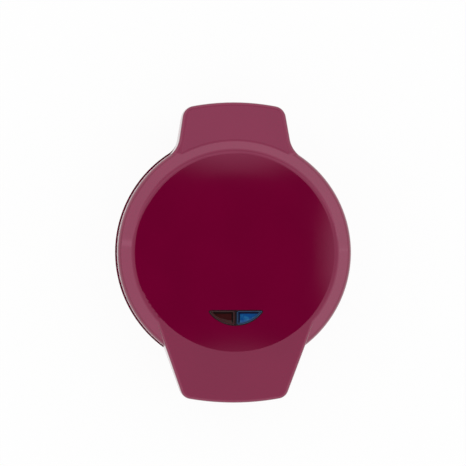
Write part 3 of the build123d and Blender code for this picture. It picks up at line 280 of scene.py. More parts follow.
class Graph:
    """A node tree, and the one way that nodes get into it."""

    def __init__(self, tree: bpy.types.NodeTree) -> None:
        """Start from an empty tree."""
        self.tree = tree
        self.tree.nodes.clear()

    def raw(
        self,
        kind: str,
        settings: Optional[Mapping[str, Any]] = None,
        inputs: Optional[Mapping[Union[int, str], Any]] = None,
    ) -> bpy.types.Node:
        """Add a node.

        Args:
            kind: The node's type name.
            settings: Its properties, set before the sockets; "stops" fills a colour ramp.
            inputs: Values or signals for its sockets, by name or number.

        Returns:
            The node.
        """
        node = self.tree.nodes.new(kind)
        for name, value in (settings or {}).items():
            if name == "stops":
                self._fill_ramp(node.color_ramp, value)
            else:
                setattr(node, name, value)
        for key, value in (inputs or {}).items():
            if isinstance(value, Signal):
                self.tree.links.new(value.socket, node.inputs[key])
            else:
                node.inputs[key].default_value = value
        return node

    def node(
        self,
        kind: str,
        settings: Optional[Mapping[str, Any]] = None,
        inputs: Optional[Mapping[Union[int, str], Any]] = None,
        output: Union[int, str] = 0,
    ) -> Signal:
        """Add a node and return one of its outputs as a signal."""
        return Signal(self, self.raw(kind, settings, inputs).outputs[output])

    @staticmethod
    def _fill_ramp(ramp: bpy.types.ColorRamp, stops: Sequence[tuple[float, Colour]]) -> None:
        """Give a colour ramp its stops.

        Args:
            ramp: The ramp.
            stops: The place and colour of each stop, from 0 to 1.
        """
        while len(ramp.elements) < len(stops):
            ramp.elements.new(1.0)
        for element, (position, colour) in zip(ramp.elements, stops):
            element.position = position
            element.color = (*colour, 1.0)

    def place(self) -> Signal:
        """Return the point on the surface, in metres, which moves with the piece."""
        return self.node("ShaderNodeTexCoord", output="Object")

    def split(self, vector: Signal) -> tuple[Signal, Signal, Signal]:
        """Return the three parts of a vector."""
        node = self.raw("ShaderNodeSeparateXYZ", inputs={0: vector})
        return tuple(Signal(self, socket) for socket in node.outputs)

    def stretch(self, vector: Signal, factors: Point) -> Signal:
        """Return a vector with each part multiplied by its factor."""
        return self.node("ShaderNodeVectorMath", {"operation": "MULTIPLY"}, {0: vector, 1: factors})

    def noise(self, at: Signal, size: float, detail: float = 2.0, warp: float = 0.0) -> Signal:
        """Return cloudy noise from 0 to 1, whose blotches are about that size in metres."""
        inputs = {"Vector": at, "Scale": 1 / size, "Detail": detail, "Distortion": warp}
        return self.node("ShaderNodeTexNoise", None, inputs)

    def cells(self, at: Signal, size: float) -> Signal:
        """Return the distance to the nearest of scattered points that far apart, in sizes."""
        return self.node("ShaderNodeTexVoronoi", None, {"Vector": at, "Scale": 1 / size})

    def blend(self, factor: Operand, first: Any, second: Any) -> Signal:
        """Return a colour between two colours or colour signals."""
        settings = {"data_type": "RGBA", "clamp_factor": True}
        ends = [end if isinstance(end, Signal) else (*end, 1.0) for end in (first, second)]
        return self.node("ShaderNodeMix", settings, {0: factor, 6: ends[0], 7: ends[1]}, 2)

    def ramp(self, factor: Signal, stops: Sequence[tuple[float, Colour]]) -> Signal:
        """Return the colour that a row of stops gives for a factor."""
        return self.node("ShaderNodeValToRGB", {"stops": stops}, {0: factor})


class Paint(Graph):
    """A material with one Principled shader, whose varying sockets take signals."""

    def __init__(self, name: str, **constants: Any) -> None:
        """Make the material.

        Args:
            name: The material's name.
            constants: Values for the shader's own sockets, with _ for a space.
        """
        self.material = bpy.data.materials.new(f"{name}_finish")
        self.material.use_nodes = True
        super().__init__(self.material.node_tree)
        inputs = {key.replace("_", " "): value for key, value in constants.items()}
        self.shader = self.raw("ShaderNodeBsdfPrincipled", inputs=inputs)
        output = self.raw("ShaderNodeOutputMaterial")
        self.tree.links.new(self.shader.outputs[0], output.inputs[0])

    def feed(self, socket: str, signal: Signal) -> None:
        """Let a signal vary one of the shader's sockets."""
        self.tree.links.new(signal.socket, self.shader.inputs[socket])

    def relief(self, height: Signal, depth: float) -> None:
        """Raise and sink the surface by a height signal, full range that many metres."""
        inputs = {"Height": height, "Distance": depth, "Strength": 1.0}
        self.feed("Normal", self.node("ShaderNodeBump", None, inputs, "Normal"))


# ------------------------------------------------------------------------- finishes
@dataclass(frozen=True)
class Finish:
    """What a surface is made of; each kind says in its own way how it looks."""

    name: str
    made: ClassVar[dict[str, bpy.types.Material]] = {}

    def material(self) -> bpy.types.Material:
        """Return the finish's material, made once."""
        if self.name not in self.made:
            self.made[self.name] = self.make()
        return self.made[self.name]

    def make(self) -> bpy.types.Material:
        """Make the material; each kind of finish has its own way."""
        raise NotImplementedError


@dataclass(frozen=True)
class MouldedPlastic(Finish):
    """Plastic as it leaves the mould, with a fine grain and a faint unevenness of gloss."""

    colour: Colour
    roughness: float = 0.3
    uneven: float = 0.05
    grain: float = 0.7 * MM
    grain_depth: float = 0.004 * MM
    wave: float = 14 * MM
    wave_depth: float = 0.004 * MM
    cloud: float = 45 * MM
    mottle: float = 0.03
    gloss: float = 0.5
    gloss_tint: Colour = (1.0, 1.0, 1.0)

    def make(self) -> bpy.types.Material:
        """Make the material.

        Returns:
            The material.
        """
        tint = (*self.gloss_tint, 1.0)
        paint = Paint(self.name, Specular_IOR_Level=self.gloss, Specular_Tint=tint)
        at = paint.place()
        cloud = paint.noise(at, self.cloud, 1.0)
        grain = paint.noise(at, self.grain, 2.0)
        peel = paint.noise(at, self.wave, 1.0)
        dark = scaled(self.colour, 1 - self.mottle)
        light = scaled(self.colour, 1 + self.mottle)
        paint.feed("Base Color", paint.blend(cloud.ease(0.3, 0.7), dark, light))
        paint.feed("Roughness", self.roughness + (grain - 0.5) * self.uneven)
        paint.relief(grain * self.grain_depth + peel * self.wave_depth, 1.0)
        return paint.material


@dataclass(frozen=True)
class CoatedCasting(Finish):
    """Cast aluminium under a dark non-stick coating, worn a little round each cavity."""

    colour: Colour
    rings: tuple[tuple[int, float, float], ...]
    cavity_radius: float
    heater_ring: float
    roughness: float = 0.42
    uneven: float = 0.16
    rubbed_gloss: float = 0.1
    metallic: float = 0.25
    pebble: float = 0.5 * MM
    pebble_depth: float = 0.03 * MM
    fleck: float = 0.8 * MM
    fleck_share: float = 0.35
    patch: float = 16 * MM
    heated_reach: tuple[float, float] = (16 * MM, 2 * MM)
    heated_share: float = 0.5
    worn_reach: tuple[float, float] = (1.3 * MM, 0.2 * MM)
    heated_colour: Colour = from_srgb(62, 50, 41)
    fleck_colour: Colour = from_srgb(120, 118, 116)
    worn_colour: Colour = from_srgb(128, 126, 124)

    def make(self) -> bpy.types.Material:
        """Make the material.

        Returns:
            The material.
        """
        paint = Paint(self.name, Metallic=self.metallic)
        at = paint.place()
        x, y, _ = paint.split(at)
        radius = (x * x + y * y).root()
        bearing = y.angle_from(x)
        worn: Operand = 0.0
        for count, ring, first in self.rings:
            worn = worn + self._rim(radius, bearing, math.tau / count, ring, first)
        pebble = paint.noise(at, self.pebble, 3.0)
        fleck = paint.cells(at, self.fleck).ease(0.16, 0.05)
        patch = paint.noise(at, self.patch, 4.0, 0.6)
        heat = abs(radius - self.heater_ring).ease(*self.heated_reach) * patch.ease(0.35, 0.75)
        coat = paint.blend(heat * self.heated_share, self.colour, self.heated_colour)
        coat = paint.blend(fleck * self.fleck_share, coat, self.fleck_colour)
        rubbed = worn * patch.ease(0.3, 0.7, 0.25, 0.8)
        paint.feed("Base Color", paint.blend(rubbed, coat, self.worn_colour))
        dullness = self.roughness + (pebble - 0.5) * self.uneven
        paint.feed("Roughness", dullness - rubbed * self.rubbed_gloss)
        paint.relief(pebble, self.pebble_depth)
        return paint.material

    def _rim(
        self, radius: Signal, bearing: Signal, pitch: float, ring: float, first: float
    ) -> Signal:
        """Return a mask along the rims of one ring of cavities.

        Args:
            radius: Distance from the plate's middle.
            bearing: Angle round the plate's middle, in radians.
            pitch: Angle from one cavity to the next.
            ring: The radius that the cavities stand at.
            first: The angle of the first cavity.

        Returns:
            A mask, 1 on the rims.
        """
        folded = (bearing - first + pitch / 2) % pitch - pitch / 2
        across = radius * folded.sine()
        along = radius * folded.cosine() - ring
        distance = (across * across + along * along).root()
        return abs(distance - self.cavity_radius).ease(*self.worn_reach)


@dataclass(frozen=True)
class RolledSheet(Finish):
    """Plain rolled sheet metal, with fine lines along one direction and dull patches."""

    colour: Colour
    roughness: float = 0.36
    line: float = 0.5 * MM
    line_depth: float = 0.006 * MM
    line_stretch: Point = (1.0, 0.03, 1.0)
    line_shade: float = 0.6
    line_uneven: float = 0.14
    dull: float = 28 * MM
    dull_shade: float = 0.72
    dull_uneven: float = 0.08

    def make(self) -> bpy.types.Material:
        """Make the material.

        Returns:
            The material.
        """
        paint = Paint(self.name, Metallic=1.0)
        at = paint.place()
        lines = paint.noise(paint.stretch(at, self.line_stretch), self.line, 4.0)
        dull = paint.noise(at, self.dull, 4.0, 0.5).ease(0.4, 0.7)
        tint = paint.blend(dull * 0.5, self.colour, scaled(self.colour, self.dull_shade))
        dark = scaled(self.colour, self.line_shade)
        paint.feed("Base Color", paint.blend((lines - 0.35) * 0.5, tint, dark))
        dullness = self.roughness + lines * self.line_uneven
        paint.feed("Roughness", dullness + dull * self.dull_uneven)
        paint.relief(lines, self.line_depth)
        return paint.material


@dataclass(frozen=True)
class TurnedSteel(Finish):
    """Zinc-plated steel of screws, pins and clips, with a faint drift of colour."""

    colour: Colour
    roughness: float = 0.32
    uneven: float = 0.2
    speck: float = 0.4 * MM
    speck_depth: float = 0.012 * MM
    speck_shade: float = 0.4
    drift: float = 5 * MM
    drift_share: float = 0.45
    passivated: Colour = from_srgb(205, 196, 168)

    def make(self) -> bpy.types.Material:
        """Make the material.

        Returns:
            The material.
        """
        paint = Paint(self.name, Metallic=1.0)
        at = paint.place()
        speck = paint.noise(at, self.speck, 3.0)
        drift = paint.noise(at, self.drift, 2.0).ease(0.35, 0.7)
        tint = paint.blend(drift * self.drift_share, self.colour, self.passivated)
        pits = speck.ease(0.6, 0.8) * 0.5
        paint.feed("Base Color", paint.blend(pits, tint, scaled(self.colour, self.speck_shade)))
        paint.feed("Roughness", self.roughness + (speck - 0.5) * self.uneven)
        paint.relief(speck, self.speck_depth)
        return paint.material


@dataclass(frozen=True)
class HeatedSheath(Finish):
    """The steel sheath of a heater, browned and blued by its own heat."""

    roughness: float = 0.4
    uneven: float = 0.22
    metallic: float = 0.9
    tide: float = 13 * MM
    grain: float = 0.45 * MM
    grain_depth: float = 0.02 * MM
    stops: tuple[tuple[float, Colour], ...] = (
        (0.3, from_srgb(72, 66, 64)),
        (0.48, from_srgb(108, 92, 76)),
        (0.6, from_srgb(86, 84, 98)),
        (0.75, from_srgb(120, 116, 112)),
    )

    def make(self) -> bpy.types.Material:
        """Make the material.

        Returns:
            The material.
        """
        paint = Paint(self.name, Metallic=self.metallic)
        at = paint.place()
        tide = paint.noise(at, self.tide, 3.0, 0.8)
        grain = paint.noise(at, self.grain, 3.0)
        paint.feed("Base Color", paint.ramp(tide, self.stops))
        paint.feed("Roughness", self.roughness + grain * self.uneven)
        paint.relief(grain, self.grain_depth)
        return paint.material


@dataclass(frozen=True)
class FiredCeramic(Finish):
    """Unglazed ceramic with dark specks and a chalky grain."""

    colour: Colour
    roughness: float = 0.68
    uneven: float = 0.2
    grain: float = 0.5 * MM
    grain_depth: float = 0.03 * MM
    speck: float = 1.6 * MM
    speck_share: float = 0.7
    speck_colour: Colour = from_srgb(96, 84, 70)
    cloud: float = 4 * MM
    cloud_shade: float = 0.86

    def make(self) -> bpy.types.Material:
        """Make the material.

        Returns:
            The material.
        """
        paint = Paint(self.name)
        at = paint.place()
        grain = paint.noise(at, self.grain, 4.0)
        specks = paint.cells(at, self.speck).ease(0.14, 0.05)
        shade = scaled(self.colour, self.cloud_shade)
        warm = paint.blend(paint.noise(at, self.cloud), self.colour, shade)
        paint.feed("Base Color", paint.blend(specks * self.speck_share, warm, self.speck_colour))
        paint.feed("Roughness", self.roughness + grain * self.uneven)
        paint.relief(grain, self.grain_depth)
        return paint.material


@dataclass(frozen=True)
class LampLens(Finish):
    """Tinted clear plastic with prism ridges, a painted glint, painted shade along the sunk
    middle's straight sides, and a painted highlight on the bow and lip.
    """

    colour: Colour
    # After the tint: a painted glint colour, a painted highlight colour for the bow and lip, and a
    # painted shade colour for the band inside the straight sides.
    glint: Colour
    edge: Colour
    recess_shade: Colour
    roughness: float = 0.16
    uneven: float = 0.06
    gloss: float = 0.22
    refraction: float = 1.49
    # The painted glint's strength and patch size.
    patch: float = 0.5
    glint_patch_size: float = 4.2 * MM
    prism: float = 1.1 * MM
    prism_depth: float = 0.04 * MM
    soft: float = 0.2 * MM
    # The noise size that breaks up the painted highlight, the highlight's reach from the bow, and
    # the painted shade's reach from the straight sides.
    highlight_unevenness: float = 3 * MM
    lip_inset: float = 1.5 * MM
    highlight_inset: float = 2.55 * MM
    shade_inset: float = 3.1 * MM
    window: HalfMoon = HalfMoon()

    def make(self) -> bpy.types.Material:
        """Make the material.

        Returns:
            The material.
        """
        paint = Paint(self.name, Specular_IOR_Level=self.gloss, IOR=self.refraction)
        at = paint.place()
        x, y, _ = paint.split(at)
        turn = math.tau / self.prism
        ridges = ((x * turn).sine() + (y * turn).sine()) * 0.25 + 0.5
        # Painted glint: brighter patches over the prism ridges in the middle.
        patches = paint.noise(at, self.glint_patch_size, 2.0, 0.5).ease(0.42, 0.66)
        lit = patches * self.patch * (0.7 + ridges * 0.3)
        middle = paint.blend(lit, self.colour, self.glint)
        bow, straight = self._reach(x, y)
        # Painted shade: a dark band inside the top and divider sides, where the sunk middle's walls
        # would shade the lens.
        sunk = (straight + self.shade_inset).ease(-self.soft, self.soft)
        shaded = paint.blend(sunk, middle, self.recess_shade)
        # Painted highlight: a pale band along the bow and a pale lip round the straight sides,
        # broken up by noise.
        pale = (bow + self.highlight_inset).at_least(straight + self.lip_inset)
        highlight_unevenness = paint.noise(at, self.highlight_unevenness, 2.0) * 0.3 + 0.7
        painted_highlight = pale.ease(-self.soft, self.soft) * highlight_unevenness
        paint.feed("Base Color", paint.blend(painted_highlight, shaded, self.edge))
        paint.feed("Roughness", self.roughness + ridges * self.uneven)
        paint.relief(ridges, self.prism_depth)
        return paint.material

    def _reach(self, x: Signal, y: Signal) -> tuple[Signal, Signal]:
        """Return how far a point lies outside the bow, and outside the straight sides.

        Args:
            x: The point's X.
            y: The point's Y.

        Returns:
            The two distances, below zero inside the window.
        """
        across = y - self.window.centre
        bow = (x * x + across * across).root() - self.window.radius
        top = y + self.window.distance
        side = self.window.divider / 2 - abs(x)
        return bow, top.at_least(side)


@dataclass(frozen=True)
class ClearGlass(Finish):
    """The thin glass of a neon lamp."""

    colour: Colour
    roughness: float = 0.05
    uneven: float = 0.12
    clearness: float = 0.85
    refraction: float = 1.5
    film: float = 1.5 * MM
    film_depth: float = 0.01 * MM
    film_shade: float = 0.85

    def make(self) -> bpy.types.Material:
        """Make the material.

        Returns:
            The material.
        """
        paint = Paint(self.name, Transmission_Weight=self.clearness, IOR=self.refraction)
        at = paint.place()
        film = paint.noise(at, self.film, 3.0)
        shade = scaled(self.colour, self.film_shade)
        paint.feed("Base Color", paint.blend(film, self.colour, shade))
        paint.feed("Roughness", self.roughness + film * self.uneven)
        paint.relief(film, self.film_depth)
        return paint.material


@dataclass(frozen=True)
class FootRubber(Finish):
    """Matt rubber with a bloom of dust."""

    colour: Colour
    roughness: float = 0.72
    uneven: float = 0.16
    grain: float = 0.6 * MM
    grain_depth: float = 0.05 * MM
    dust: float = 6 * MM
    dust_share: float = 0.35
    dust_colour: Colour = from_srgb(118, 114, 110)

    def make(self) -> bpy.types.Material:
        """Make the material.

        Returns:
            The material.
        """
        paint = Paint(self.name)
        at = paint.place()
        grain = paint.noise(at, self.grain, 4.0)
        dust = paint.noise(at, self.dust, 4.0, 0.4).ease(0.5, 0.8)
        dusty = paint.blend(dust * self.dust_share, self.colour, self.dust_colour)
        paint.feed("Base Color", dusty)
        paint.feed("Roughness", self.roughness + grain * self.uneven)
        paint.relief(grain, self.grain_depth)
        return paint.material


@dataclass(frozen=True)
class WovenSleeve(Finish):
    """A braided sleeve over a bundle of wires."""

    colour: Colour
    roughness: float = 0.75
    uneven: float = 0.15
    sheen: float = 0.3
    thread: float = 0.7 * MM
    thread_depth: float = 0.18 * MM
    fibre: float = 0.2 * MM
    lightening: float = 2.6

    def make(self) -> bpy.types.Material:
        """Make the material.

        Returns:
            The material.
        """
        paint = Paint(self.name, Sheen_Weight=self.sheen)
        at = paint.place()
        x, y, z = paint.split(at)
        turn = math.tau / (2 * self.thread)
        one = ((x + y + z) * turn).sine()
        other = ((x - y + z) * turn).sine()
        weave = one.at_least(other) * 0.5 + 0.5
        fibre = paint.noise(at, self.fibre, 2.0)
        light = scaled(self.colour, self.lightening)
        paint.feed("Base Color", paint.blend(weave * (0.5 + fibre * 0.5), self.colour, light))
        paint.feed("Roughness", self.roughness + fibre * self.uneven)
        paint.relief(weave, self.thread_depth)
        return paint.material


@dataclass(frozen=True)
class WireInsulation(Finish):
    """Silicone insulation, plain or with a second colour wound along it."""

    colour: Colour
    stripe: Optional[Colour] = None
    pitch: float = 7 * MM
    roughness: float = 0.42
    uneven: float = 0.16
    grain: float = 0.5 * MM
    grain_depth: float = 0.015 * MM
    grime: float = 5 * MM
    grime_share: float = 0.4
    grime_shade: float = 0.68

    def make(self) -> bpy.types.Material:
        """Make the material.

        Returns:
            The material.
        """
        paint = Paint(self.name)
        at = paint.place()
        x, y, z = paint.split(at)
        grain = paint.noise(at, self.grain, 3.0)
        grime = paint.noise(at, self.grime, 3.0, 0.5).ease(0.5, 0.8)
        grimy = scaled(self.colour, self.grime_shade)
        tint = paint.blend(grime * self.grime_share, self.colour, grimy)
        if self.stripe:
            wound = ((y + z + x * 2.0) * (math.tau / self.pitch)).sine()
            tint = paint.blend(wound.ease(-0.08, 0.08), tint, self.stripe)
        paint.feed("Base Color", tint)
        paint.feed("Roughness", self.roughness + grain * self.uneven)
        paint.relief(grain, self.grain_depth)
        return paint.material


# ------------------------------------------------------------------------- mesh tools
def settle(name: str, mesh: bmesh.types.BMesh, smooth: bool = False) -> bpy.types.Object:
    """Turn a finished mesh into an object of the scene, at the origin.

    Args:
        name: The object's name.
        mesh: The mesh, which is freed.
        smooth: Whether its faces are shaded smooth.

    Returns:
        The new object.
    """
    data = bpy.data.meshes.new(name)
    mesh.to_mesh(data)
    mesh.free()
    if smooth:
        data.shade_smooth()
    piece = bpy.data.objects.new(name, data)
    bpy.context.scene.collection.objects.link(piece)
    return piece


def ribbon(
    name: str, rows: Sequence[Sequence[Point]], closed: bool = False, smooth: bool = False
) -> bpy.types.Object:
    """Build a closed solid from sections that follow one another.

    Args:
        name: The piece's name.
        rows: The points of each section, the same number in each.
        closed: Whether the last section joins the first; if not, both ends are capped.
        smooth: Whether its faces are shaded smooth.

    Returns:
        The new object, at the origin.
    """
    mesh = bmesh.new()
    sections = [[mesh.verts.new(point) for point in row] for row in rows]
    following = [*sections[1:], sections[0]] if closed else sections[1:]
    for this, after in zip(sections, following):
        for i in range(len(this)):
            j = (i + 1) % len(this)
            mesh.faces.new((this[i], this[j], after[j], after[i]))
    if not closed:
        mesh.faces.new(reversed(sections[0]))
        mesh.faces.new(sections[-1])
    bmesh.ops.recalc_face_normals(mesh, faces=mesh.faces)
    return settle(name, mesh, smooth)


def turned(radius: float, height: float, sides: int) -> list[Point]:
    """Return the corners of one ring round +Z."""
    angles = [math.tau * i / sides for i in range(sides)]
    return [(radius * math.cos(a), radius * math.sin(a), height) for a in angles]


def aim(piece: bpy.types.Object, at: Point, along: Point) -> None:
    """Put a piece's origin at a point and turn its +Z along a direction."""
    turn = Vector(along).to_track_quat("Z", "Y").to_matrix().to_4x4()
    piece.data.transform(Matrix.Translation(at) @ turn)


# ------------------------------------------------------------------------- finishes in use
PLUM = MouldedPlastic(
    "plum_plastic", from_srgb(109, 1, 45), roughness=0.08, gloss=1.0, gloss_tint=(1.0, 0.43, 0.64),
)
BLACK = MouldedPlastic(
    "black_plastic", from_srgb(26, 26, 27), roughness=0.55, grain=0.5 * MM, grain_depth=0.03 * MM,
    mottle=0.15,
)
RESIN = MouldedPlastic(
    "sensor_body", from_srgb(58, 40, 28), roughness=0.5, grain=0.6 * MM, grain_depth=0.02 * MM,
    mottle=0.25,
)
NYLON = MouldedPlastic(
    "block_plastic", from_srgb(226, 221, 206), roughness=0.45, grain=0.8 * MM,
    grain_depth=0.015 * MM, mottle=0.05,
)
RIM_BLACK = MouldedPlastic(
    "lamp_rim", from_srgb(24, 14, 20), roughness=0.2, grain=0.5 * MM, grain_depth=0.006 * MM,
)
SHEET = RolledSheet("sheet_aluminium", from_srgb(214, 214, 216))
STEEL = TurnedSteel("steel", from_srgb(188, 188, 190))
SHEATH = HeatedSheath("heater_sheath")
CERAMIC = FiredCeramic("ceramic", from_srgb(232, 226, 212))
# Each lens: its tint, a painted glint, a painted highlight for the bow and lip, and a painted shade
# colour for the sunk middle's walls.
RED_LENS = LampLens(
    "red_lens", from_srgb(46, 3, 5), from_srgb(60, 8, 8), from_srgb(74, 40, 42),
    from_srgb(20, 2, 2), patch=0.4,
)
BLUE_LENS = LampLens(
    "blue_lens", from_srgb(6, 66, 128), from_srgb(36, 118, 160), from_srgb(46, 76, 112),
    from_srgb(2, 10, 44), patch=0.6,
)
NEON_GLASS = ClearGlass("lamp_glass", from_srgb(244, 214, 198))
RUBBER = FootRubber("rubber", from_srgb(30, 29, 28))
SLEEVE = WovenSleeve("harness_sleeve", from_srgb(34, 33, 34))
WHITE_LEAD = WireInsulation("lead_insulation", from_srgb(226, 219, 204))
EARTH_LEAD = WireInsulation("earth_insulation", from_srgb(58, 142, 52), from_srgb(218, 190, 40))


# ------------------------------------------------------------------------- sub-assemblies
@dataclass
class SubAssembly:
    """A group of pieces with one purpose, and the nodes that it dresses."""

    nodes: Mapping[str, bpy.types.Object]
    finishes: dict[str, Finish] = field(default_factory=dict)

    def dress(self) -> int:
        """Give each of the group's nodes its finish.

        Returns:
            How many nodes were dressed.
        """
        for node, finish in self.finishes.items():
            self._paint(self.nodes[node], finish)
            LOG.info("dressed %s with %s", node, finish.name)
        return len(self.finishes)

    def build(self) -> list[bpy.types.Object]:
        """Build the group's own fine pieces and return them."""
        return []

    @staticmethod
    def _paint(piece: bpy.types.Object, finish: Finish) -> None:
        """Put a finish in every material slot of a piece.

        Args:
            piece: The piece.
            finish: The finish.
        """
        material = finish.material()
        if not piece.material_slots:
            piece.data.materials.append(material)
        for slot in piece.material_slots:
            slot.material = material

    def _fit(self, piece: bpy.types.Object, finish: Finish, body: Body) -> bpy.types.Object:
        """Finish a new piece and let it ride on a body.

        Args:
            piece: The piece.
            finish: The finish, which has its slot's name.
            body: The body that carries it.

        Returns:
            The same piece.
        """
        self._paint(piece, finish)
        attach(piece, body.value)
        LOG.info("built %s on the %s", piece.name, body.value)
        return piece


@dataclass
class Casing(SubAssembly):
    """The two plum shells and the black trim plates inside their rims."""

    def __post_init__(self) -> None:
        """Say which node takes which finish."""
        self.finishes = {
            "lid_shell": PLUM, "base_shell": PLUM, "lid_frame": BLACK, "base_frame": BLACK,
            "lid_screws": STEEL, "base_screws": STEEL, "rubber_feet": RUBBER, "cord_gland": BLACK,
            "left_hinge_pin": STEEL, "right_hinge_pin": STEEL,
        }


@dataclass
class BakingPlates(SubAssembly):
    """Both plates, with the pans behind them and the screws that join them."""

    cavity_radius: float = 18.5 * MM
    outer_ring: float = 61.98 * MM
    inner_ring: float = 22.98 * MM
    heater_ring: float = 42.48 * MM
    outer_count: int = 9
    inner_count: int = 3

    def __post_init__(self) -> None:
        """Say which node takes which finish."""
        rear = math.pi / 2
        coating = CoatedCasting(
            "coated_aluminium",
            from_srgb(52, 51, 51),
            (
                (self.inner_count, self.inner_ring, rear),
                (self.outer_count, self.outer_ring, rear + math.pi / self.outer_count),
            ),
            self.cavity_radius,
            self.heater_ring,
        )
        for side in ("lower", "upper"):
            self.finishes[f"{side}_plate"] = coating
            self.finishes[f"{side}_reflector"] = SHEET
            self.finishes[f"{side}_plate_screws"] = STEEL


@dataclass
class Heating(SubAssembly):
    """Both heaters with their bushes and clips, the thermostat and the cut-out."""

    def __post_init__(self) -> None:
        """Say which node takes which finish."""
        for side in ("lower", "upper"):
            self.finishes[f"{side}_heater"] = SHEATH
            self.finishes[f"{side}_heater_bushes"] = CERAMIC
            self.finishes[f"{side}_heater_clips"] = STEEL
            self.finishes[f"{side}_clip_screws"] = STEEL
        for node in ("thermostat", "thermal_cutout"):
            self.finishes[node] = RESIN
        for node in ("thermostat_screws", "cutout_screws"):
            self.finishes[node] = STEEL


@dataclass
class LampWindow(SubAssembly):
    """The half-moon window: rim, two lenses, and the neon lamps in their housing."""

    window: HalfMoon = HalfMoon()
    crown_radius: float = 850 * MM
    lip_inset: float = 1.15 * MM
    lip_radius: float = 0.3 * MM
    lip_rise: float = 0.12 * MM
    lip_sides: int = 8
    bevel_inset: float = 2.55 * MM
    bevel_width: float = 1.9 * MM
    bevel_end_width: float = 0.15 * MM
    bevel_taper: float = 0.7
    bevel_reach: float = 0.96
    bevel_top: float = 0.12 * MM
    bevel_depth: float = 0.75 * MM
    bevel_crown: float = 0.1 * MM
    bevel_steps: int = 16
    electrode_radius: float = 0.35 * MM
    electrode_tip: float = 0.6
    electrode_sides: int = 12
    electrode_gap: float = 1.6 * MM
    electrode_inset: float = 1.6 * MM

    def __post_init__(self) -> None:
        """Say which node takes which finish."""
        self.finishes = {
            "lamp_bezel": RIM_BLACK, "power_lens": RED_LENS, "ready_lens": BLUE_LENS,
            "lamp_housing": BLACK, "lamp_housing_screws": STEEL, "power_lamp": NEON_GLASS,
            "ready_lamp": NEON_GLASS,
        }

    def build(self) -> list[bpy.types.Object]:
        """Edge both lenses with a lip and a bevel, and put two electrodes into each lamp.

        Returns:
            The new pieces.
        """
        pieces = []
        for name, side, finish in (("power_lens", -1, RED_LENS), ("ready_lens", 1, BLUE_LENS)):
            # The lip and bevel take the lens finish, and with it the painted highlight along the
            # bow and lip.
            pieces.append(self._fit(self._lip(f"{name}_lip", side), finish, Body.LID))
            pieces.append(self._fit(self._bevel(f"{name}_bevel", side), finish, Body.LID))
        for lamp in ("power_lamp", "ready_lamp"):
            pieces += self._electrodes(lamp)
        return pieces

    def _crown(self, x: float, y: float) -> float:
        """Return the height of the lid's crown at a point in plan."""
        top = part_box("lid_shell")[1].z
        return top - self.crown_radius + math.sqrt(self.crown_radius**2 - x * x - y * y)

    def _lip(self, name: str, side: int) -> bpy.types.Object:
        """Build the thin raised lip round one lens.

        Args:
            name: The piece's name.
            side: -1 for the left lens, 1 for the right one.

        Returns:
            The lip.
        """
        path = self.window.half(self.lip_inset, side)
        rows = []
        for before, at, after in zip([path[-1], *path[:-1]], path, [*path[1:], path[0]]):
            along = (Vector(after) - Vector(before)).normalized()
            base = self._crown(*at) + self.lip_rise
            row = []
            for across, rise, _ in turned(self.lip_radius, 0.0, self.lip_sides):
                row.append((at[0] + along.y * across, at[1] - along.x * across, base + rise))
            rows.append(row)
        return ribbon(name, rows, closed=True, smooth=True)

    def _bevel(self, name: str, side: int) -> bpy.types.Object:
        """Build the sloping strip between a lens's edge and its sunk middle, along the bow.

        Args:
            name: The piece's name.
            side: -1 for the left lens, 1 for the right one.

        Returns:
            The strip.
        """
        near = self.window.divider / 2 + self.bevel_inset
        length = (self.window.bow_end(self.bevel_inset) - near) * self.bevel_reach
        rows = []
        for i in range(self.bevel_steps + 1):
            share = i / self.bevel_steps
            x = near + length * share
            y = self.window.bow_at(x, self.bevel_inset)
            width = self.bevel_width * (1 - share) ** self.bevel_taper + self.bevel_end_width
            high = self._crown(x, y) - self.bevel_top
            low = high - self.bevel_depth
            middle = (high + low) / 2 + self.bevel_crown
            section = ((y, low), (y + width, low), (y + width / 2, middle), (y, high))
            rows.append([(side * x, *point) for point in section])
        return ribbon(name, rows)

    def _electrodes(self, lamp: str) -> list[bpy.types.Object]:
        """Build the two rods inside a neon lamp.

        Args:
            lamp: The lamp's node.

        Returns:
            The rods.
        """
        low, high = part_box(lamp)
        middle = (low + high) / 2
        length = high.x - low.x - 2 * self.electrode_inset
        tip = self.electrode_radius * self.electrode_tip
        profile = (
            (tip, 0.0), (self.electrode_radius, tip),
            (self.electrode_radius, length - tip), (tip, length),
        )
        rings = [turned(radius, height, self.electrode_sides) for radius, height in profile]
        rods = []
        for number, turn in enumerate((-1, 1), 1):
            rod = ribbon(f"{lamp}_electrode_{number}", rings, smooth=True)
            y = middle.y + turn * self.electrode_gap / 2
            aim(rod, (low.x + self.electrode_inset, y, middle.z), (1.0, 0.0, 0.0))
            rods.append(self._fit(rod, STEEL, Body.LID))
        return rods


@dataclass
class Wiring(SubAssembly):
    """The terminal block, both harnesses and every lead."""

    def __post_init__(self) -> None:
        """Say which node takes which finish."""
        self.finishes = {
            "terminal_block": NYLON, "terminal_screws": STEEL, "base_harness": SLEEVE,
            "lid_harness": SLEEVE, "earth_lead": EARTH_LEAD, "lower_heater_leads": WHITE_LEAD,
            "thermostat_leads": WHITE_LEAD, "upper_heater_lead": WHITE_LEAD,
            "cutout_leads": WHITE_LEAD, "lamp_leads": WHITE_LEAD,
        }


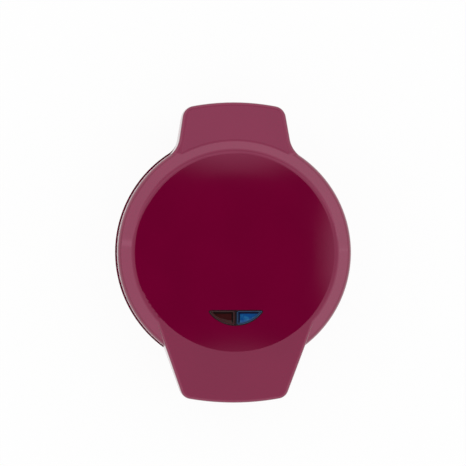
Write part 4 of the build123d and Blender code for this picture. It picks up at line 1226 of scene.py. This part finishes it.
# ------------------------------------------------------------------------- studio
@dataclass
class Tent:
    """A soft light tent: pale walls, and a dark opening overhead where the camera looks in.

    Each edge is a pair of angles from straight up, in degrees, between which the wall fades in.
    """

    right: tuple[float, float] = (14.8, 17.4)
    left: tuple[float, float] = (25.0, 40.0)
    rear: tuple[float, float] = (10.1, 13.6)
    front: tuple[float, float] = (12.5, 16.4)
    rear_panel: tuple[float, float] = (22.0, 30.0)
    rear_panel_top: tuple[float, float] = (40.0, 48.0)
    rear_gain: float = 0.35
    roof_level: float = 1.0
    wall_level: float = 1.6
    wall_rise: tuple[float, float] = (0.6, 0.05)
    lowest: float = 0.02

    def light(self) -> None:
        """Build the world."""
        world = bpy.data.worlds.new("light_tent")
        world.use_nodes = True
        bpy.context.scene.world = world
        graph = Graph(world.node_tree)
        way = graph.node("ShaderNodeTexCoord", output="Generated")
        x, y, z = graph.split(way)
        up = z.at_least(self.lowest)
        lit: Signal = self._edge(x / up, self.right)
        for slope, limits in ((-x / up, self.left), (y / up, self.rear), (-y / up, self.front)):
            lit = lit.at_least(self._edge(slope, limits))
        level = z.ease(*self.wall_rise, self.roof_level, self.wall_level)
        panel = self._edge(y / up, self.rear_panel) * (1 - self._edge(y / up, self.rear_panel_top))
        strength = lit * level * (1 + panel * self.rear_gain)
        background = graph.raw("ShaderNodeBackground", None, {0: (1, 1, 1, 1), 1: strength})
        output = graph.raw("ShaderNodeOutputWorld")
        graph.tree.links.new(background.outputs[0], output.inputs[0])

    @staticmethod
    def _edge(slope: Signal, limits: tuple[float, float]) -> Signal:
        """Return how much of the wall shows at a slope, between two angles in degrees."""
        start, end = (math.tan(math.radians(angle)) for angle in limits)
        return slope.ease(start, end)


@dataclass
class Table:
    """The plain pale floor."""

    size: float = 6.0
    colour: Colour = (0.92, 0.92, 0.92)
    roughness: float = 0.85
    uneven: float = 0.1
    fibre: float = 2 * MM
    fibre_shade: float = 0.97
    paleness: float = 0.94

    def lay(self) -> None:
        """Build the floor at the height of the feet and stage it."""
        half = self.size / 2
        mesh = bmesh.new()
        corners = ((-half, -half), (half, -half), (half, half), (-half, half))
        mesh.faces.new([mesh.verts.new((x, y, 0.0)) for x, y in corners])
        floor = settle("floor", mesh)
        floor.data.materials.append(self._paper())

    def _paper(self) -> bpy.types.Material:
        """Make matt paper that the camera sees near white, with the object's shadow kept.

        Returns:
            The material.
        """
        paper = Paint("floor_paper", Specular_IOR_Level=0.0)
        at = paper.place()
        fibre = paper.noise(at, self.fibre, 3.0)
        shade = scaled(self.colour, self.fibre_shade)
        paper.feed("Base Color", paper.blend(fibre, self.colour, shade))
        paper.feed("Roughness", self.roughness + fibre * self.uneven)
        glow = paper.raw("ShaderNodeEmission", None, {0: (1, 1, 1, 1), 1: 1.0})
        path = paper.raw("ShaderNodeLightPath")
        kinds = ("Camera", "Glossy", "Transmission")
        camera, gloss, through = (Signal(paper, path.outputs[f"Is {kind} Ray"]) for kind in kinds)
        seen = (camera + gloss + through).at_most(1.0)
        mixed = paper.raw("ShaderNodeMixShader", None, {0: seen * self.paleness})
        output = next(node for node in paper.tree.nodes if node.type == "OUTPUT_MATERIAL")
        paper.tree.links.new(paper.shader.outputs[0], mixed.inputs[1])
        paper.tree.links.new(glow.outputs[0], mixed.inputs[2])
        paper.tree.links.new(mixed.outputs[0], output.inputs[0])
        return paper.material


@dataclass
class OverheadCamera:
    """A long lens that looks almost straight down, a little from the left."""

    distance: float = 2.0
    lean: float = 3.2
    scale: float = 0.9 * MM
    pixels: int = 466
    sensor: float = 36.0
    clip: tuple[float, float] = (0.05, 20.0)
    target: Point = (0.0, 17.3 * MM, 54 * MM)

    def place(self) -> None:
        """Set the camera up and make it the scene's own."""
        data = bpy.data.cameras.new("portrait")
        data.sensor_width = self.sensor
        data.lens = self.sensor * self.distance / (self.pixels * self.scale)
        data.clip_start, data.clip_end = self.clip
        camera = bpy.data.objects.new("portrait", data)
        bpy.context.scene.collection.objects.link(camera)
        lean = math.radians(self.lean)
        away = Vector((-math.sin(lean), 0.0, math.cos(lean))) * self.distance
        camera.location = Vector(self.target) + away
        camera.rotation_euler = (0.0, -lean, 0.0)
        bpy.context.scene.camera = camera


# ------------------------------------------------------------------------- the whole
def clear_scene() -> None:
    """Take out what a new file holds."""
    for thing in list(bpy.data.objects):
        bpy.data.objects.remove(thing)


def main() -> None:
    """Load the solids, dress them, and set up the studio."""
    logging.basicConfig(level=logging.INFO, format="%(name)s: %(message)s")
    clear_scene()
    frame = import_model()
    nodes = frame["nodes"]
    dressed = built = 0
    for kind in (Casing, BakingPlates, Heating, LampWindow, Wiring):
        group = kind(nodes)
        dressed += group.dress()
        built += len(group.build())
    LOG.info("dressed %d of %d nodes and built %d pieces", dressed, len(nodes), built)
    Tent().light()
    Table().lay()
    OverheadCamera().place()
    bpy.context.scene.view_settings.view_transform = "Standard"


if __name__ == "__main__":
    main()
